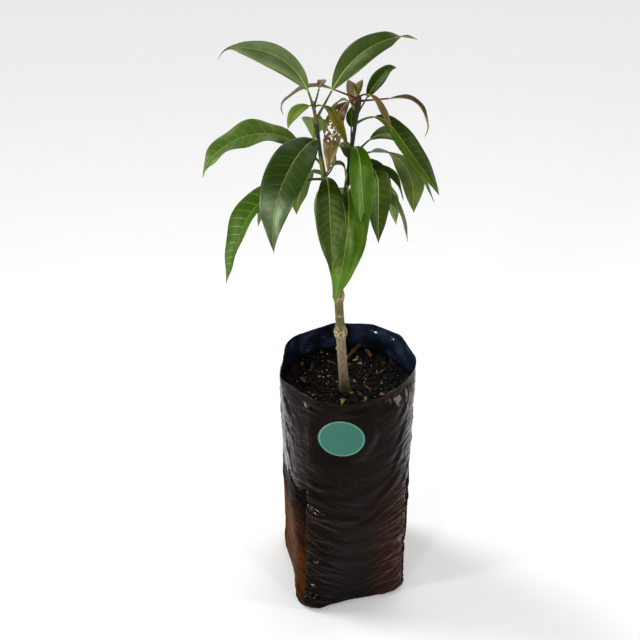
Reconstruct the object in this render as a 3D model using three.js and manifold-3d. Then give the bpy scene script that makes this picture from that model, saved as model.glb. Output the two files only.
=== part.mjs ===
// A young mango tree in a tall black nursery bag.
// Millimetres, +Z up. The origin is the middle of the bag's flat underside, and the bag's
// face with the round sticker looks towards -Y. The tree stands a little turned in its bag.
import * as THREE from "three";
import { mergeVertices } from "three/addons/utils/BufferGeometryUtils.js";
import Module from "manifold-3d";

const wasm = await Module();
wasm.setup();

// ---------------------------------------------------------------- driving dimensions
const GAP = 0.3; // clearance between two pieces that touch

const BAG_HEIGHT = 345;
const BASE_HALF = 65; // half the side of the square foot
const RIM_HALF = 80; // radius of the round rim
const BAG_SPREAD = 1.5; // above 1 the bag widens mostly near its rim
const FOOT_SQUARENESS = 8; // superellipse power: 2 is round, 8 nearly square
const RIM_SQUARENESS = 2;
const FILM = 2; // wall of the bag
const BAG_SIDES = 40;

const SOIL_TOP = 308; // the mix ends well below the rim
const BAG_LEVELS = [0, 0.12, 0.3, 0.5, 0.7, SOIL_TOP / BAG_HEIGHT, 1]; // parts of the bag's height

const STICKER_RADIUS = 29;
const STICKER_HEIGHT = 292; // centre of the round sticker, above the foot
const STICKER_SIDEWAYS = -27; // centre of the round sticker, along X
const STICKER_THICKNESS = 0.6;
const STICKER_LIFT = 0.7; // clears the bag's flat facets
const STICKER_RINGS = 3;
const STICKER_SIDES = 24;

const TREE_TURN = -13; // degrees that the tree is turned in its bag
const TREE_BASE = SOIL_TOP + GAP;

// The trunk's middle line, from the soil to the fork.
const TRUNK_PATH = [
  [-2.6, -10, TREE_BASE],
  [-6.0, -7, 350],
  [-8.7, -5, 392],
  [-11.3, 0, 441],
  [-10.4, 0, 485],
  [-9.7, 0, 525],
];
const TRUNK_RADIUS_LOW = 5.6;
const TRUNK_RADIUS_TOP = 4.5;
const ROOT_FLARE = 2.4; // extra radius at the soil
const FLARE_HEIGHT = 9;
const TRUNK_SIDES = 12;
const TRUNK_STEPS = 22;
// Swollen rings where earlier flushes of growth ended: height, extra radius, half height.
const TRUNK_NODES = [
  [390, 2.4, 7],
  [436, 1.7, 6],
  [505, 0.8, 7],
];
// Dormant buds on the trunk: height, direction in degrees, size.
const TRUNK_BUDS = [
  [366, 185, 2.2],
  [354, -5, 2.0],
];

// The two shoots above the fork are straight: a low and a high point of each.
const SHOOTS = {
  left: { low: [-27.0, -10, 583], high: [-37.5, -12, 658] },
  right: { low: [-9.7, 0, 525], high: [6.5, 4, 668] },
};
const LEFT_BOUGH_FOOT = [-9.9, 0, 508]; // inside the trunk, just under the fork
const BOUGH_RADIUS_FOOT = 3.9;
const BOUGH_RADIUS_TIP = 2.7;
const LEFT_BOUGH_TOP = 571;
const RIGHT_BOUGH_TOP = 556;
const SHOOT_SIDES = 8;
const FACET_ALLOWANCE = 1.2; // keeps the full gap at the flats between a ring's corners

const PETIOLE_ROOT = 1.6; // radius of a leaf stalk where it leaves the shoot
const PETIOLE_TIP = 1.0; // and where the blade begins
const THICKNESS_SHARE = 1 / 95; // blade thickness as a part of its length
const THICKNESS_LEAST = 0.9;
const EDGE_THICKNESS = 0.8; // of the thickness at the midrib
const BLADE_STATIONS = [0.05, 0.14, 0.26, 0.4, 0.54, 0.68, 0.8, 0.91, 1];
const PETIOLE_STATIONS = [0, 0.35, 0.7, 1];
const SPINE_STEP = 0.01; // share of a leaf's length that one step of its curve covers
const SWING_FROM = 0.1; // parts of a leaf's length where it starts to swing sideways
const CURL_FROM = 0.8; // and where its tip starts to curl
const HEX_CORNERS = [150, 90, 30, -30, -90, -150]; // a stalk's section, from its left side over the top
// A mango blade widens quickly from its foot, stays broad and runs out to a point.
const FOOT_POWER = 3.2;
const FOOT_ROUNDING = 0.9;
const TIP_POWER = 2.6;
const WIDEST = (blunt) => 0.735 + 0.08 * (1.25 - blunt); // brings the widest half width to 1

// Each row is a leaf: where it leaves its shoot (height), the way it points (degrees from
// +X), how steeply it climbs, its stalk, blade length and width, how far it droops in all
// and between which parts of its length, how far it swings sideways, its roll and twist,
// how far its halves fold up, how far the tip curls on, and how blunt the tip is.
const LEAF_FIELDS = [
  "height", "way", "climb", "stalk", "length", "width", "droop", "from", "to",
  "swing", "roll", "twist", "fold", "curl", "blunt",
];

const LEFT_LOWER_LEAVES = [
  [598, 190, 50, 30, 123, 30, 100, 0, 1, 0, -25, 0, 14, 25, 1.2],
  [609, 221, 72, 22, 135, 47, 150, 0, 0.5, 0, 0, 0, 8, 0, 1.2],
  [583, 200, 17, 35, 136, 34, 90, -0.15, 0.8, 0, -25, 0, 10, 0, 1.2],
  [584, 278, 35, 10, 107, 31, 105, 0, 0.35, 0, 0, 0, 12, 0, 1.2],
  [584, 8, 52, 14, 21, 16, -35, 0.2, 0.6, 25, 0, 0, 12, 0, 1.2],
  [587, 8, 52, 12, 34, 14, 135, 0.2, 0.7, 0, 0, 0, 12, 0, 1.2],
  [588, 150, 15, 26, 104, 36, 85, -0.2, 0.8, 0, 0, 0, 10, 0, 1.2],
  [576, 88, -5, 18, 96, 28, 80, -0.2, 0.6, 0, 0, 0, 10, 0, 1.2],
  [590, 126, 10, 18, 76, 30, 85, -0.2, 0.7, 0, 0, 0, 10, 0, 1.2],
];
const LEFT_UPPER_LEAVES = [
  [645, 172, 78, 31, 110, 30, 79, 0.05, 0.82, 0, -38, 0, 10, 70, 1.25],
  [647, 10, 61, 32, 102, 32, 60, 0.2, 1, 0, 30, 0, 8, 30, 1.2],
  [650, 108, 0, 8, 42, 22, 85, 0, 0.8, -60, 0, 0, 15, 0, 1.2],
  [648, 60, -10, 8, 22, 10, 70, 0, 0.8, 0, 0, 0, 12, 0, 1.2],
  [662, 205, 0, 4, 31, 16, 70, 0, 1, 0, -20, 0, 12, 0, 1.2],
  [660, 314, 38, 12, 50, 13, 84, -0.05, 0.5, -4, 0, 0, 25, 0, 1.2],
  [660, 52, 62, 18, 19, 9, 67, 0.4, 0.8, 28, 0, 0, 15, 0, 1.2],
];
const RIGHT_LOWER_LEAVES = [
  [571, 274, 25, 14, 124, 44, 102, 0, 0.4, -68, 0, 0, 10, 0, 0.9],
  [606, 288, 52, 13, 104, 25, 138, 0.02, 0.42, 14, 0, 0, 12, -10, 1.2],
  [590, 318, 45, 16, 104, 30, 132, 0.02, 0.5, -8, 0, 0, 10, 0, 1.2],
  [588, 350, 15, 22, 55, 20, 85, 0.1, 0.9, 0, 0, 0, 12, 0, 1.2],
  [576, 349, -12, 20, 82, 20, 65, 0.1, 0.9, 0, 0, 0, 12, 0, 1.2],
  [600, 30, 15, 24, 110, 36, 99, -0.1, 0.9, 0, 0, -50, 8, 0, 1.1],
  [598, 15, 48, 28, 124, 37, 110, 0.08, 0.54, 0, 15, 0, 10, 0, 1.1],
  [604, 90, 80, 27, 23, 11, 40, 0.3, 0.9, 0, 0, 0, 12, 0, 1.2],
  [582, 95, 80, 18, 27, 16, 150, 0.45, 1, 65, 0, 0, 12, 0, 1.2],
  [562, 82, 5, 16, 106, 34, 80, -0.2, 0.7, 0, 0, 0, 10, 0, 1.2],
  [570, 56, 10, 20, 100, 30, 85, -0.1, 0.7, 0, 0, 0, 10, 0, 1.2],
  [580, 38, 5, 26, 92, 30, 75, -0.1, 0.7, 0, 0, 0, 10, 0, 1.2],
];
const RIGHT_UPPER_LEAVES = [
  [645, 20, 58, 20, 48, 22, 15, 0.3, 0.9, 0, -10, 0, 12, 100, 0.9],
  [637, 348, 33, 20, 108, 26, 85, 0.03, 0.36, 0, 0, 0, 38, 8, 1.1],
  [653, 152, 38, 13, 38, 16, 125, 0, 0.75, 0, 0, 0, 12, 0, 1.2],
];
const CHEWED_LEAF = [662, 231, 13, 15, 77, 22, 90, 0, 0.6, 0, 0, 0, 10, 0, 1.2];
const RIGHT_BRONZE_LEAVES = [
  [662, 172, 19, 26, 70, 12, 59, 0.2, 0.8, 0, 0, 0, 20, 75, 1.2],
  [660, 352, 8, 30, 66, 13, 76, 0.35, 0.8, 0, 0, 0, 20, 45, 1.2],
  [664, 322, 45, 12, 46, 11, 98, -0.05, 0.5, 0, 0, 0, 25, 10, 1.2],
  [661, 100, 72, 4, 50, 18, 165, 0, 0.7, 0, 0, 0, 30, 0, 1.2],
  CHEWED_LEAF,
];
// Holes eaten into the chewed leaf: part of the blade's length, part of its half width
// towards one side, and the hole's radius.
const CHEWED_HOLES = [
  [0.34, 0.45, 2.4],
  [0.42, -0.4, 2.8],
  [0.5, 0.3, 2.2],
  [0.57, -0.55, 1.8],
  [0.63, 0.5, 2.0],
];
const HOLE_SIDES = 7;
const HOLE_DEPTH = 8;

// Heights where one mass of a shoot ends and the next begins, and the stem's radius at the
// foot and top of each.
const LEFT_BREAKS = [LEFT_BOUGH_TOP, 622, 666];
const RIGHT_BREAKS = [RIGHT_BOUGH_TOP, 626, 657.5, 673];
const LEFT_RADII = [[2.7, 2.4], [2.4, 1.4]];
const RIGHT_RADII = [[2.7, 2.4], [2.4, 2.3], [2.9, 1.6]];

// ---------------------------------------------------------------- small helpers
const radians = THREE.MathUtils.degToRad;
const smooth = (a, b, x) => THREE.MathUtils.smoothstep(x, a, b);
const vector = (list) => new THREE.Vector3(...list);

/** A closed skin over rings of points, each ring with the same count, both ends capped. */
function loft(rings) {
  const count = rings[0].length;
  const points = rings.flat();
  const faces = [];
  for (let r = 0; r + 1 < rings.length; r += 1) {
    for (let i = 0; i < count; i += 1) {
      const a = r * count + i;
      const b = r * count + ((i + 1) % count);
      faces.push(a, b, b + count, a, b + count, a + count);
    }
  }
  for (const [start, turned] of [[0, true], [(rings.length - 1) * count, false]]) {
    for (let i = 1; i + 1 < count; i += 1) {
      const ends = turned ? [start + i + 1, start + i] : [start + i, start + i + 1];
      faces.push(start, ...ends);
    }
  }
  const geometry = new THREE.BufferGeometry();
  geometry.setAttribute("position", new THREE.Float32BufferAttribute(points.flatMap((p) => p.toArray()), 3));
  geometry.setIndex(faces);
  return geometry;
}

function toSolid(geometry) {
  const bare = geometry.clone();
  bare.deleteAttribute("normal");
  bare.deleteAttribute("uv");
  const merged = mergeVertices(bare);
  const vertProperties = new Float32Array(merged.attributes.position.array);
  const triVerts = new Uint32Array(merged.index.array);
  return new wasm.Manifold(new wasm.Mesh({ numProp: 3, vertProperties, triVerts }));
}

function toGeometry(solid) {
  const { vertProperties, triVerts } = solid.getMesh();
  const geometry = new THREE.BufferGeometry();
  geometry.setAttribute("position", new THREE.Float32BufferAttribute(vertProperties, 3));
  geometry.setIndex([...triVerts]);
  return geometry;
}

function fused(geometries) {
  const [first, ...rest] = geometries.map(toSolid);
  return rest.reduce((whole, solid) => whole.add(solid), first);
}

function piece(name, geometry, { color, roughness }) {
  geometry.computeVertexNormals();
  const material = new THREE.MeshStandardMaterial({ color, roughness, metalness: 0 });
  const mesh = new THREE.Mesh(geometry, material);
  mesh.name = name;
  return mesh;
}

// ---------------------------------------------------------------- materials
const POLYTHENE = { color: 0x1a1514, roughness: 0.25 };
const MIX = { color: 0x2a211c, roughness: 0.95 };
const STICKER = { color: 0x0f8a70, roughness: 0.4 };
const OLD_BARK = { color: 0x6b6150, roughness: 0.8 };
const GREEN_BARK = { color: 0x4f5a2c, roughness: 0.6 };
const DEEP_GREEN = { color: 0x3c6420, roughness: 0.45 };
const MID_GREEN = { color: 0x4c6f35, roughness: 0.45 };
const YOUNG_GREEN = { color: 0x7c8a3a, roughness: 0.5 };
const BRONZE = { color: 0x5a3830, roughness: 0.5 };

// ---------------------------------------------------------------- bag, mix and sticker
/** Half width of the bag at a height, and how square it is there. */
function bagShape(height) {
  const part = height / BAG_HEIGHT;
  return {
    half: BASE_HALF + (RIM_HALF - BASE_HALF) * part ** BAG_SPREAD,
    power: FOOT_SQUARENESS * (RIM_SQUARENESS / FOOT_SQUARENESS) ** part,
  };
}

function bagPoint(angle, height, outward = 0) {
  const { half, power } = bagShape(height);
  const reach = Math.abs(Math.cos(angle)) ** power + Math.abs(Math.sin(angle)) ** power;
  const radius = (half + outward) / reach ** (1 / power);
  return new THREE.Vector3(radius * Math.cos(angle), radius * Math.sin(angle), height);
}

function bagRing(height, outward) {
  const angles = Array.from({ length: BAG_SIDES }, (_, i) => (2 * Math.PI * (i + 0.5)) / BAG_SIDES);
  return angles.map((angle) => bagPoint(angle, height, outward));
}

function bagHeights(bottom, top) {
  const between = BAG_LEVELS.map((part) => part * BAG_HEIGHT).filter((z) => z > bottom + 1 && z < top - 1);
  return [bottom, ...between, top];
}

/** The outer shape, hollowed from above down to the floor. */
function growBag() {
  const outside = loft(bagHeights(0, BAG_HEIGHT).map((z) => bagRing(z, 0)));
  const inside = loft(bagHeights(FILM, BAG_HEIGHT + FILM).map((z) => bagRing(z, -FILM)));
  return toGeometry(toSolid(outside).subtract(toSolid(inside)));
}

function pottingMix() {
  const clear = -FILM - GAP;
  return loft(bagHeights(FILM + GAP, SOIL_TOP).map((z) => bagRing(z, clear)));
}

/** A disc of film that follows the bag's face. */
function sticker() {
  const onFace = (across, up, outward) => {
    const height = STICKER_HEIGHT + up;
    const sideways = STICKER_SIDEWAYS + across;
    const { half } = bagShape(height);
    return bagPoint(-Math.PI / 2 + Math.atan2(sideways, half), height, outward);
  };
  const ring = (share, outward) => {
    const radius = STICKER_RADIUS * share;
    return Array.from({ length: STICKER_SIDES }, (_, i) => {
      const angle = (2 * Math.PI * i) / STICKER_SIDES;
      return onFace(radius * Math.cos(angle), radius * Math.sin(angle), outward);
    });
  };
  const shares = Array.from({ length: STICKER_RINGS }, (_, i) => (i + 1) / STICKER_RINGS);
  const back = shares.map((share) => ring(share, STICKER_LIFT));
  const front = shares.map((share) => ring(share, STICKER_LIFT + STICKER_THICKNESS));
  return loft([...back, ...front.reverse()]);
}

// ---------------------------------------------------------------- trunk and boughs
/** A round limb that stands more or less upright: level rings round a path of points. */
function limb(path, radiusAt, sides) {
  const rings = path.map((point, i) => {
    const radius = radiusAt(i / (path.length - 1), point.z);
    return Array.from({ length: sides }, (_, k) => {
      const angle = (2 * Math.PI * k) / sides;
      return new THREE.Vector3(radius * Math.cos(angle), radius * Math.sin(angle), 0).add(point);
    });
  });
  return loft(rings);
}

function trunkRadius(part, height) {
  const taper = THREE.MathUtils.lerp(TRUNK_RADIUS_LOW, TRUNK_RADIUS_TOP, part);
  const flare = ROOT_FLARE * Math.exp(-(height - TREE_BASE) / FLARE_HEIGHT);
  const rings = TRUNK_NODES.map(([at, extra, half]) => extra * Math.exp(-(((height - at) / half) ** 2)));
  return taper + flare + rings.reduce((sum, value) => sum + value, 0);
}

const trunkCurve = new THREE.CatmullRomCurve3(TRUNK_PATH.map(vector));

/** The trunk, or with an allowance the space that its neighbours are kept out of. */
function trunkLimb(allowance = 0) {
  const path = trunkCurve.getPoints(TRUNK_STEPS);
  path.at(-1).z += allowance;
  const radius = (part, height) => trunkRadius(part, height) + allowance;
  return limb(path, radius, TRUNK_SIDES);
}

function trunkBud([height, way, size]) {
  const part = (height - TREE_BASE) / (TRUNK_PATH.at(-1)[2] - TREE_BASE);
  const point = trunkCurve.getPoint(part);
  const bud = new THREE.SphereGeometry(size, 6, 4);
  const angle = radians(way);
  const reach = trunkRadius(part, height);
  bud.translate(point.x + reach * Math.cos(angle), point.y + reach * Math.sin(angle), height);
  return bud;
}

function onShoot(shoot, height) {
  const low = vector(shoot.low);
  const high = vector(shoot.high);
  return low.lerp(high, (height - low.z) / (high.z - low.z));
}

function straightLimb(from, to, radiusFrom, radiusTo) {
  const radius = (part) => THREE.MathUtils.lerp(radiusFrom, radiusTo, part);
  return limb([from, to], radius, SHOOT_SIDES);
}

function rightBough() {
  const foot = onShoot(SHOOTS.right, TRUNK_PATH.at(-1)[2] + GAP);
  const tip = onShoot(SHOOTS.right, RIGHT_BOUGH_TOP);
  return straightLimb(foot, tip, BOUGH_RADIUS_FOOT, BOUGH_RADIUS_TIP);
}

/** Grows out of the trunk's side, and is cut to the trunk and to the other bough. */
function leftBough() {
  const tip = onShoot(SHOOTS.left, LEFT_BOUGH_TOP);
  const whole = toSolid(straightLimb(vector(LEFT_BOUGH_FOOT), tip, BOUGH_RADIUS_FOOT, BOUGH_RADIUS_TIP));
  const clear = GAP * FACET_ALLOWANCE;
  const foot = onShoot(SHOOTS.right, TRUNK_PATH.at(-1)[2]);
  const top = onShoot(SHOOTS.right, RIGHT_BOUGH_TOP);
  const neighbour = straightLimb(foot, top, BOUGH_RADIUS_FOOT + clear, BOUGH_RADIUS_TIP + clear);
  return toGeometry(whole.subtract(fused([trunkLimb(clear), neighbour])));
}

// ---------------------------------------------------------------- leaves
const leafFrom = (row) => Object.fromEntries(LEAF_FIELDS.map((field, i) => [field, row[i]]));

/** Half width of a mango leaf along its blade, as a part of its widest half. */
function bladeOutline(part, blunt) {
  const foot = (1 - (1 - part) ** FOOT_POWER) ** FOOT_ROUNDING;
  const tip = Math.max(1 - part ** TIP_POWER, 0) ** blunt;
  return (foot * tip) / WIDEST(blunt);
}

/** Where a leaf points at a part of its length, with its own left and its upper side. */
function leafFrame(leaf, part) {
  const bend = leaf.droop * smooth(leaf.from, leaf.to, part) + leaf.curl * smooth(CURL_FROM, 1, part);
  const rise = radians(leaf.climb - bend);
  const way = radians(leaf.way + leaf.swing * smooth(SWING_FROM, 1, part));
  const ahead = new THREE.Vector3(Math.cos(way), Math.sin(way), 0);
  const along = ahead.multiplyScalar(Math.cos(rise)).setZ(Math.sin(rise));
  const level = new THREE.Vector3(-Math.sin(way), Math.cos(way), 0);
  const upright = along.clone().cross(level);
  const blade = Math.max((part * (leaf.stalk + leaf.length) - leaf.stalk) / leaf.length, 0);
  const roll = radians(leaf.roll + leaf.twist * blade);
  const left = level.clone().multiplyScalar(Math.cos(roll)).addScaledVector(upright, Math.sin(roll));
  const up = upright.clone().multiplyScalar(Math.cos(roll)).addScaledVector(level, -Math.sin(roll));
  return { along, left, up, blade };
}

/** Points down the middle of a leaf, from the shoot's centre to its tip. */
function leafSpine(leaf, shoot, parts) {
  const total = leaf.stalk + leaf.length;
  const point = onShoot(shoot, leaf.height);
  const spine = [];
  let done = 0;
  for (const part of parts) {
    const steps = Math.max(Math.ceil((part - done) / SPINE_STEP), 1);
    const step = (part - done) / steps;
    for (let i = 0; i < steps; i += 1) {
      point.addScaledVector(leafFrame(leaf, done + (i + 0.5) * step).along, step * total);
    }
    done = part;
    spine.push(point.clone());
  }
  return spine;
}

function leafParts(leaf) {
  const total = leaf.stalk + leaf.length;
  const stalk = PETIOLE_STATIONS.map((part) => (part * leaf.stalk) / total);
  const blade = BLADE_STATIONS.map((part) => (leaf.stalk + part * leaf.length) / total);
  return [...stalk, ...blade];
}

/** A point of a leaf section: so far to the left and so far up. */
const offset = (point, { left, up }, across, lift) =>
  point.clone().addScaledVector(left, across).addScaledVector(up, lift);

function stalkSection(point, frame, radius) {
  const corner = (angle) => offset(point, frame, -radius * Math.cos(angle), radius * Math.sin(angle));
  return HEX_CORNERS.map((degrees) => corner(radians(degrees)));
}

function bladeSection(point, frame, leaf, thickness) {
  const half = Math.max((leaf.width / 2) * bladeOutline(frame.blade, leaf.blunt), thickness / 2);
  const reach = half * Math.cos(radians(leaf.fold));
  const lift = half * Math.sin(radians(leaf.fold));
  const middle = thickness / 2;
  const edge = middle * EDGE_THICKNESS;
  return [
    offset(point, frame, reach, lift + edge),
    offset(point, frame, 0, middle),
    offset(point, frame, -reach, lift + edge),
    offset(point, frame, -reach, lift - edge),
    offset(point, frame, 0, -middle),
    offset(point, frame, reach, lift - edge),
  ];
}

/** Stalk and blade of a leaf as one closed skin. */
function leafGeometry(row, shoot) {
  const leaf = leafFrom(row);
  const thickness = Math.max(leaf.length * THICKNESS_SHARE, THICKNESS_LEAST);
  const parts = leafParts(leaf);
  const spine = leafSpine(leaf, shoot, parts);
  const rings = spine.map((point, i) => {
    const frame = leafFrame(leaf, parts[i]);
    if (i >= PETIOLE_STATIONS.length) return bladeSection(point, frame, leaf, thickness);
    const radius = THREE.MathUtils.lerp(PETIOLE_ROOT, PETIOLE_TIP, PETIOLE_STATIONS[i]);
    return stalkSection(point, frame, radius);
  });
  return loft(rings);
}

/** One mass: a stretch of shoot with its leaves rooted in it. */
function leafMass(shoot, bottom, top, radii, rows) {
  const stem = straightLimb(onShoot(shoot, bottom), onShoot(shoot, top), ...radii);
  return fused([stem, ...rows.map((row) => leafGeometry(row, shoot))]);
}

/** Short posts through the blade where something has eaten it. */
function chewedHoles(row, shoot) {
  const leaf = leafFrom(row);
  const total = leaf.stalk + leaf.length;
  return CHEWED_HOLES.map(([along, across, radius]) => {
    const part = (leaf.stalk + along * leaf.length) / total;
    const [point] = leafSpine(leaf, shoot, [part]);
    const frame = leafFrame(leaf, part);
    const half = (leaf.width / 2) * bladeOutline(frame.blade, leaf.blunt);
    const post = new THREE.CylinderGeometry(radius, radius, HOLE_DEPTH, HOLE_SIDES);
    post.applyQuaternion(new THREE.Quaternion().setFromUnitVectors(new THREE.Vector3(0, 1, 0), frame.up));
    const centre = offset(point, frame, across * half, 0);
    post.translate(centre.x, centre.y, centre.z);
    return toSolid(post);
  });
}

const leftMass = (order, rows) =>
  leafMass(SHOOTS.left, LEFT_BREAKS[order] + GAP, LEFT_BREAKS[order + 1], LEFT_RADII[order], rows);
const rightMass = (order, rows) =>
  leafMass(SHOOTS.right, RIGHT_BREAKS[order] + GAP, RIGHT_BREAKS[order + 1], RIGHT_RADII[order], rows);

// ---------------------------------------------------------------- the whole
const bag = new THREE.Group();
bag.add(
  piece("grow_bag", growBag(), POLYTHENE),
  piece("potting_mix", pottingMix(), MIX),
  piece("round_sticker", sticker(), STICKER),
);

const tree = new THREE.Group();
tree.rotation.z = radians(TREE_TURN);
tree.add(
  piece("trunk", toGeometry(fused([trunkLimb(), ...TRUNK_BUDS.map(trunkBud)])), OLD_BARK),
  piece("left_bough", leftBough(), GREEN_BARK),
  piece("right_bough", rightBough(), GREEN_BARK),
);

const bronzeLeaves = chewedHoles(CHEWED_LEAF, SHOOTS.right).reduce(
  (mass, hole) => mass.subtract(hole),
  rightMass(2, RIGHT_BRONZE_LEAVES),
);
const masses = [
  ["left_lower_leaves", leftMass(0, LEFT_LOWER_LEAVES), DEEP_GREEN],
  ["left_upper_leaves", leftMass(1, LEFT_UPPER_LEAVES), YOUNG_GREEN],
  ["right_lower_leaves", rightMass(0, RIGHT_LOWER_LEAVES), DEEP_GREEN],
  ["right_upper_leaves", rightMass(1, RIGHT_UPPER_LEAVES), MID_GREEN],
  ["right_bronze_leaves", bronzeLeaves, BRONZE],
];
for (const [name, solid, material] of masses) tree.add(piece(name, toGeometry(solid), material));

const sapling = new THREE.Group();
sapling.add(bag, tree);

export default sapling;
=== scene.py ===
import math
from collections import namedtuple

import bpy
import numpy as np
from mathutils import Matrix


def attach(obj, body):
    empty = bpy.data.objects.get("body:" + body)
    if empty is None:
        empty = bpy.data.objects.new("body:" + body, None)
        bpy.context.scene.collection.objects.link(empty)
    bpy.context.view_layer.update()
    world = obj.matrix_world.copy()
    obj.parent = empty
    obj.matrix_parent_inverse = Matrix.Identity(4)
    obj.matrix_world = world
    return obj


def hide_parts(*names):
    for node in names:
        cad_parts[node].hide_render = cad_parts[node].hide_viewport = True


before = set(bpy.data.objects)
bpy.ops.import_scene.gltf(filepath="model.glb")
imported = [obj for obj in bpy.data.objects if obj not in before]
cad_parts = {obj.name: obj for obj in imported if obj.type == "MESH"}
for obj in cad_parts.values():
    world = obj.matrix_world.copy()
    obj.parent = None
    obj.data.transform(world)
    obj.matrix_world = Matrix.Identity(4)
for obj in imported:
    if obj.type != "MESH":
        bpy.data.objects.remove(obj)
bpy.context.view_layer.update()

MM = 0.001
TAU = 2 * math.pi
scene = bpy.context.scene
TREE_TURN = -13  # degrees that the tree and the camera are turned round the bag


def turned(points):
    """Points of the tree, in millimetres, turned in the bag and put in metres."""
    angle = math.radians(TREE_TURN)
    cos, sin = math.cos(angle), math.sin(angle)
    return np.asarray(points, float) @ np.array([[cos, sin, 0], [-sin, cos, 0], [0, 0, 1]]) * MM


# ---------------------------------------------------------------- camera and lights
CAMERA_PLACE = (-32, -834, 976)
LOOKS_DOWN = 34.5  # degrees
LENS = 50
SENSOR_WIDTH = 36
LIGHTS_AIM = (0, 0, 420)
# Kind, name, place, power and size of each light, a sun's in degrees and a panel's in metres.
LIGHTS = [
    ("SUN", "left_daylight", (-1200, 500, 1500), 2.0, 25),
    ("SUN", "back_daylight", (500, 900, 2200), 1.1, 50),
    ("AREA", "left_window", (-1500, -500, 650), 10, (0.14, 0.9)),
    ("AREA", "right_window", (1500, -200, 800), 7, (0.16, 0.8)),
    ("AREA", "front_left_strip", (-850, -1360, 700), 7, (0.05, 1.0)),
    ("AREA", "front_right_strip", (1100, -1150, 700), 6, (0.05, 1.0)),
]
# These show in glossy reflections alone.
GLOSS_LIGHTS = [
    ("AREA", "left_sheen", (-1420, -600, 400), 32, (0.3, 0.7)),
    ("AREA", "right_sheen", (1450, -300, 440), 18, (0.25, 0.7)),
    ("AREA", "back_panel", (-100, 1400, 1150), 7, (1.6, 0.6)),
    ("AREA", "left_glint", (-420, -1480, 600), 12, (0.14, 0.1)),
    ("AREA", "right_glint", (260, -1500, 540), 10, (0.14, 0.1)),
    ("AREA", "front_panel", (-200, -1500, 420), 12, (1.6, 0.5)),
]
WORLD_STRENGTH = 0.2


def make_camera():
    data = bpy.data.cameras.new("view")
    data.lens = LENS
    data.sensor_width = SENSOR_WIDTH
    camera = bpy.data.objects.new("view", data)
    camera.location = turned(CAMERA_PLACE)
    camera.rotation_euler = (math.radians(90 - LOOKS_DOWN), 0, math.radians(TREE_TURN))
    scene.collection.objects.link(camera)
    scene.camera = camera


def add_light(kind, name, place, power, size, gloss_only=False):
    """A soft light at a place in millimetres round the tree that looks at its middle."""
    data = bpy.data.lights.new(name, kind)
    data.energy = power
    if kind == "SUN":
        data.angle = math.radians(size)
    else:
        data.shape = "RECTANGLE"
        data.size, data.size_y = size
    lamp = bpy.data.objects.new(name, data)
    lamp.location = turned(place)
    way = turned(LIGHTS_AIM) - turned(place)
    level = math.hypot(way[0], way[1])
    lamp.rotation_euler = (math.pi / 2 + math.atan2(way[2], level), 0, math.atan2(-way[0], way[1]))
    lamp.visible_camera = False
    lamp.visible_diffuse = not gloss_only
    scene.collection.objects.link(lamp)


def make_world():
    """Even, weak light from all round."""
    world = bpy.data.worlds.new("studio")
    scene.world = world
    world.use_nodes = True
    background = world.node_tree.nodes["Background"]
    background.inputs["Color"].default_value = (1, 1, 1, 1)
    background.inputs["Strength"].default_value = WORLD_STRENGTH


# ---------------------------------------------------------------- formulas in node trees
class Field:
    """A value in a node tree, so that a shape's rule can be written as a formula."""

    def __init__(self, tree, socket):
        self.tree = tree
        self.socket = socket

    def __add__(self, other):
        return reckon("ADD", self, other)

    def __sub__(self, other):
        return reckon("SUBTRACT", self, other)

    def __rsub__(self, other):
        return reckon("SUBTRACT", other, self)

    def __mul__(self, other):
        return reckon("MULTIPLY", self, other)

    def __truediv__(self, other):
        return reckon("DIVIDE", self, other)

    def __rtruediv__(self, other):
        return reckon("DIVIDE", other, self)

    def __pow__(self, other):
        return reckon("POWER", self, other)

    def __rpow__(self, other):
        return reckon("POWER", other, self)

    def __neg__(self):
        return reckon("MULTIPLY", self, -1)

    __radd__ = __add__
    __rmul__ = __mul__


def is_vector(value):
    return isinstance(value, Field) and value.socket.type == "VECTOR"


def feed(tree, socket, value):
    if isinstance(value, Field):
        tree.links.new(value.socket, socket)
    else:
        socket.default_value = value


def tree_of(*values):
    """The node tree that the first field among some values comes from."""
    return next(value.tree for value in values if isinstance(value, Field))


def reckon(operation, *values):
    """Puts values through a math node of the tree that they come from."""
    tree = tree_of(*values)
    vectors = [is_vector(value) for value in values]
    node = tree.nodes.new("ShaderNodeVectorMath" if any(vectors) else "ShaderNodeMath")
    sockets = node.inputs
    if operation == "MULTIPLY" and any(vectors) and not all(vectors):
        operation = "SCALE"
        values = sorted(values, key=is_vector, reverse=True)
        sockets = [node.inputs[0], node.inputs[3]]
    node.operation = operation
    for socket, value in zip(sockets, values):
        feed(tree, socket, value)
    return Field(tree, node.outputs[0])


def live(sockets, key):
    """The socket in use that has this name or place."""
    used = [socket for socket in sockets if socket.enabled]
    return used[key] if isinstance(key, int) else next(s for s in used if s.name == key)


def step(tree, kind, feeds=None, give=0, **settings):
    """Adds a node to a tree and returns the output, or the outputs, asked for."""
    node = tree.nodes.new(kind)
    for key, value in settings.items():
        setattr(node, key, value)
    for key, value in (feeds or {}).items():
        feed(tree, live(node.inputs, key), value)
    if isinstance(give, tuple):
        return [Field(tree, live(node.outputs, key)) for key in give]
    return Field(tree, live(node.outputs, give))


def sine(x):
    return reckon("SINE", x)


def cosine(x):
    return reckon("COSINE", x)


def size_of(x):
    return reckon("ABSOLUTE", x)


def floor_of(x):
    return reckon("FLOOR", x)


def fraction_of(x):
    return reckon("FRACT", x)


def lesser(a, b):
    return reckon("MINIMUM", a, b)


def greater(a, b):
    return reckon("MAXIMUM", a, b)


def over(a, b):
    """1 where a is greater than b, and 0 elsewhere."""
    return reckon("GREATER_THAN", a, b)


def hill(x, half):
    """A bell curve over x with this half width."""
    return reckon("EXPONENT", -((x / half) ** 2))


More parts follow.
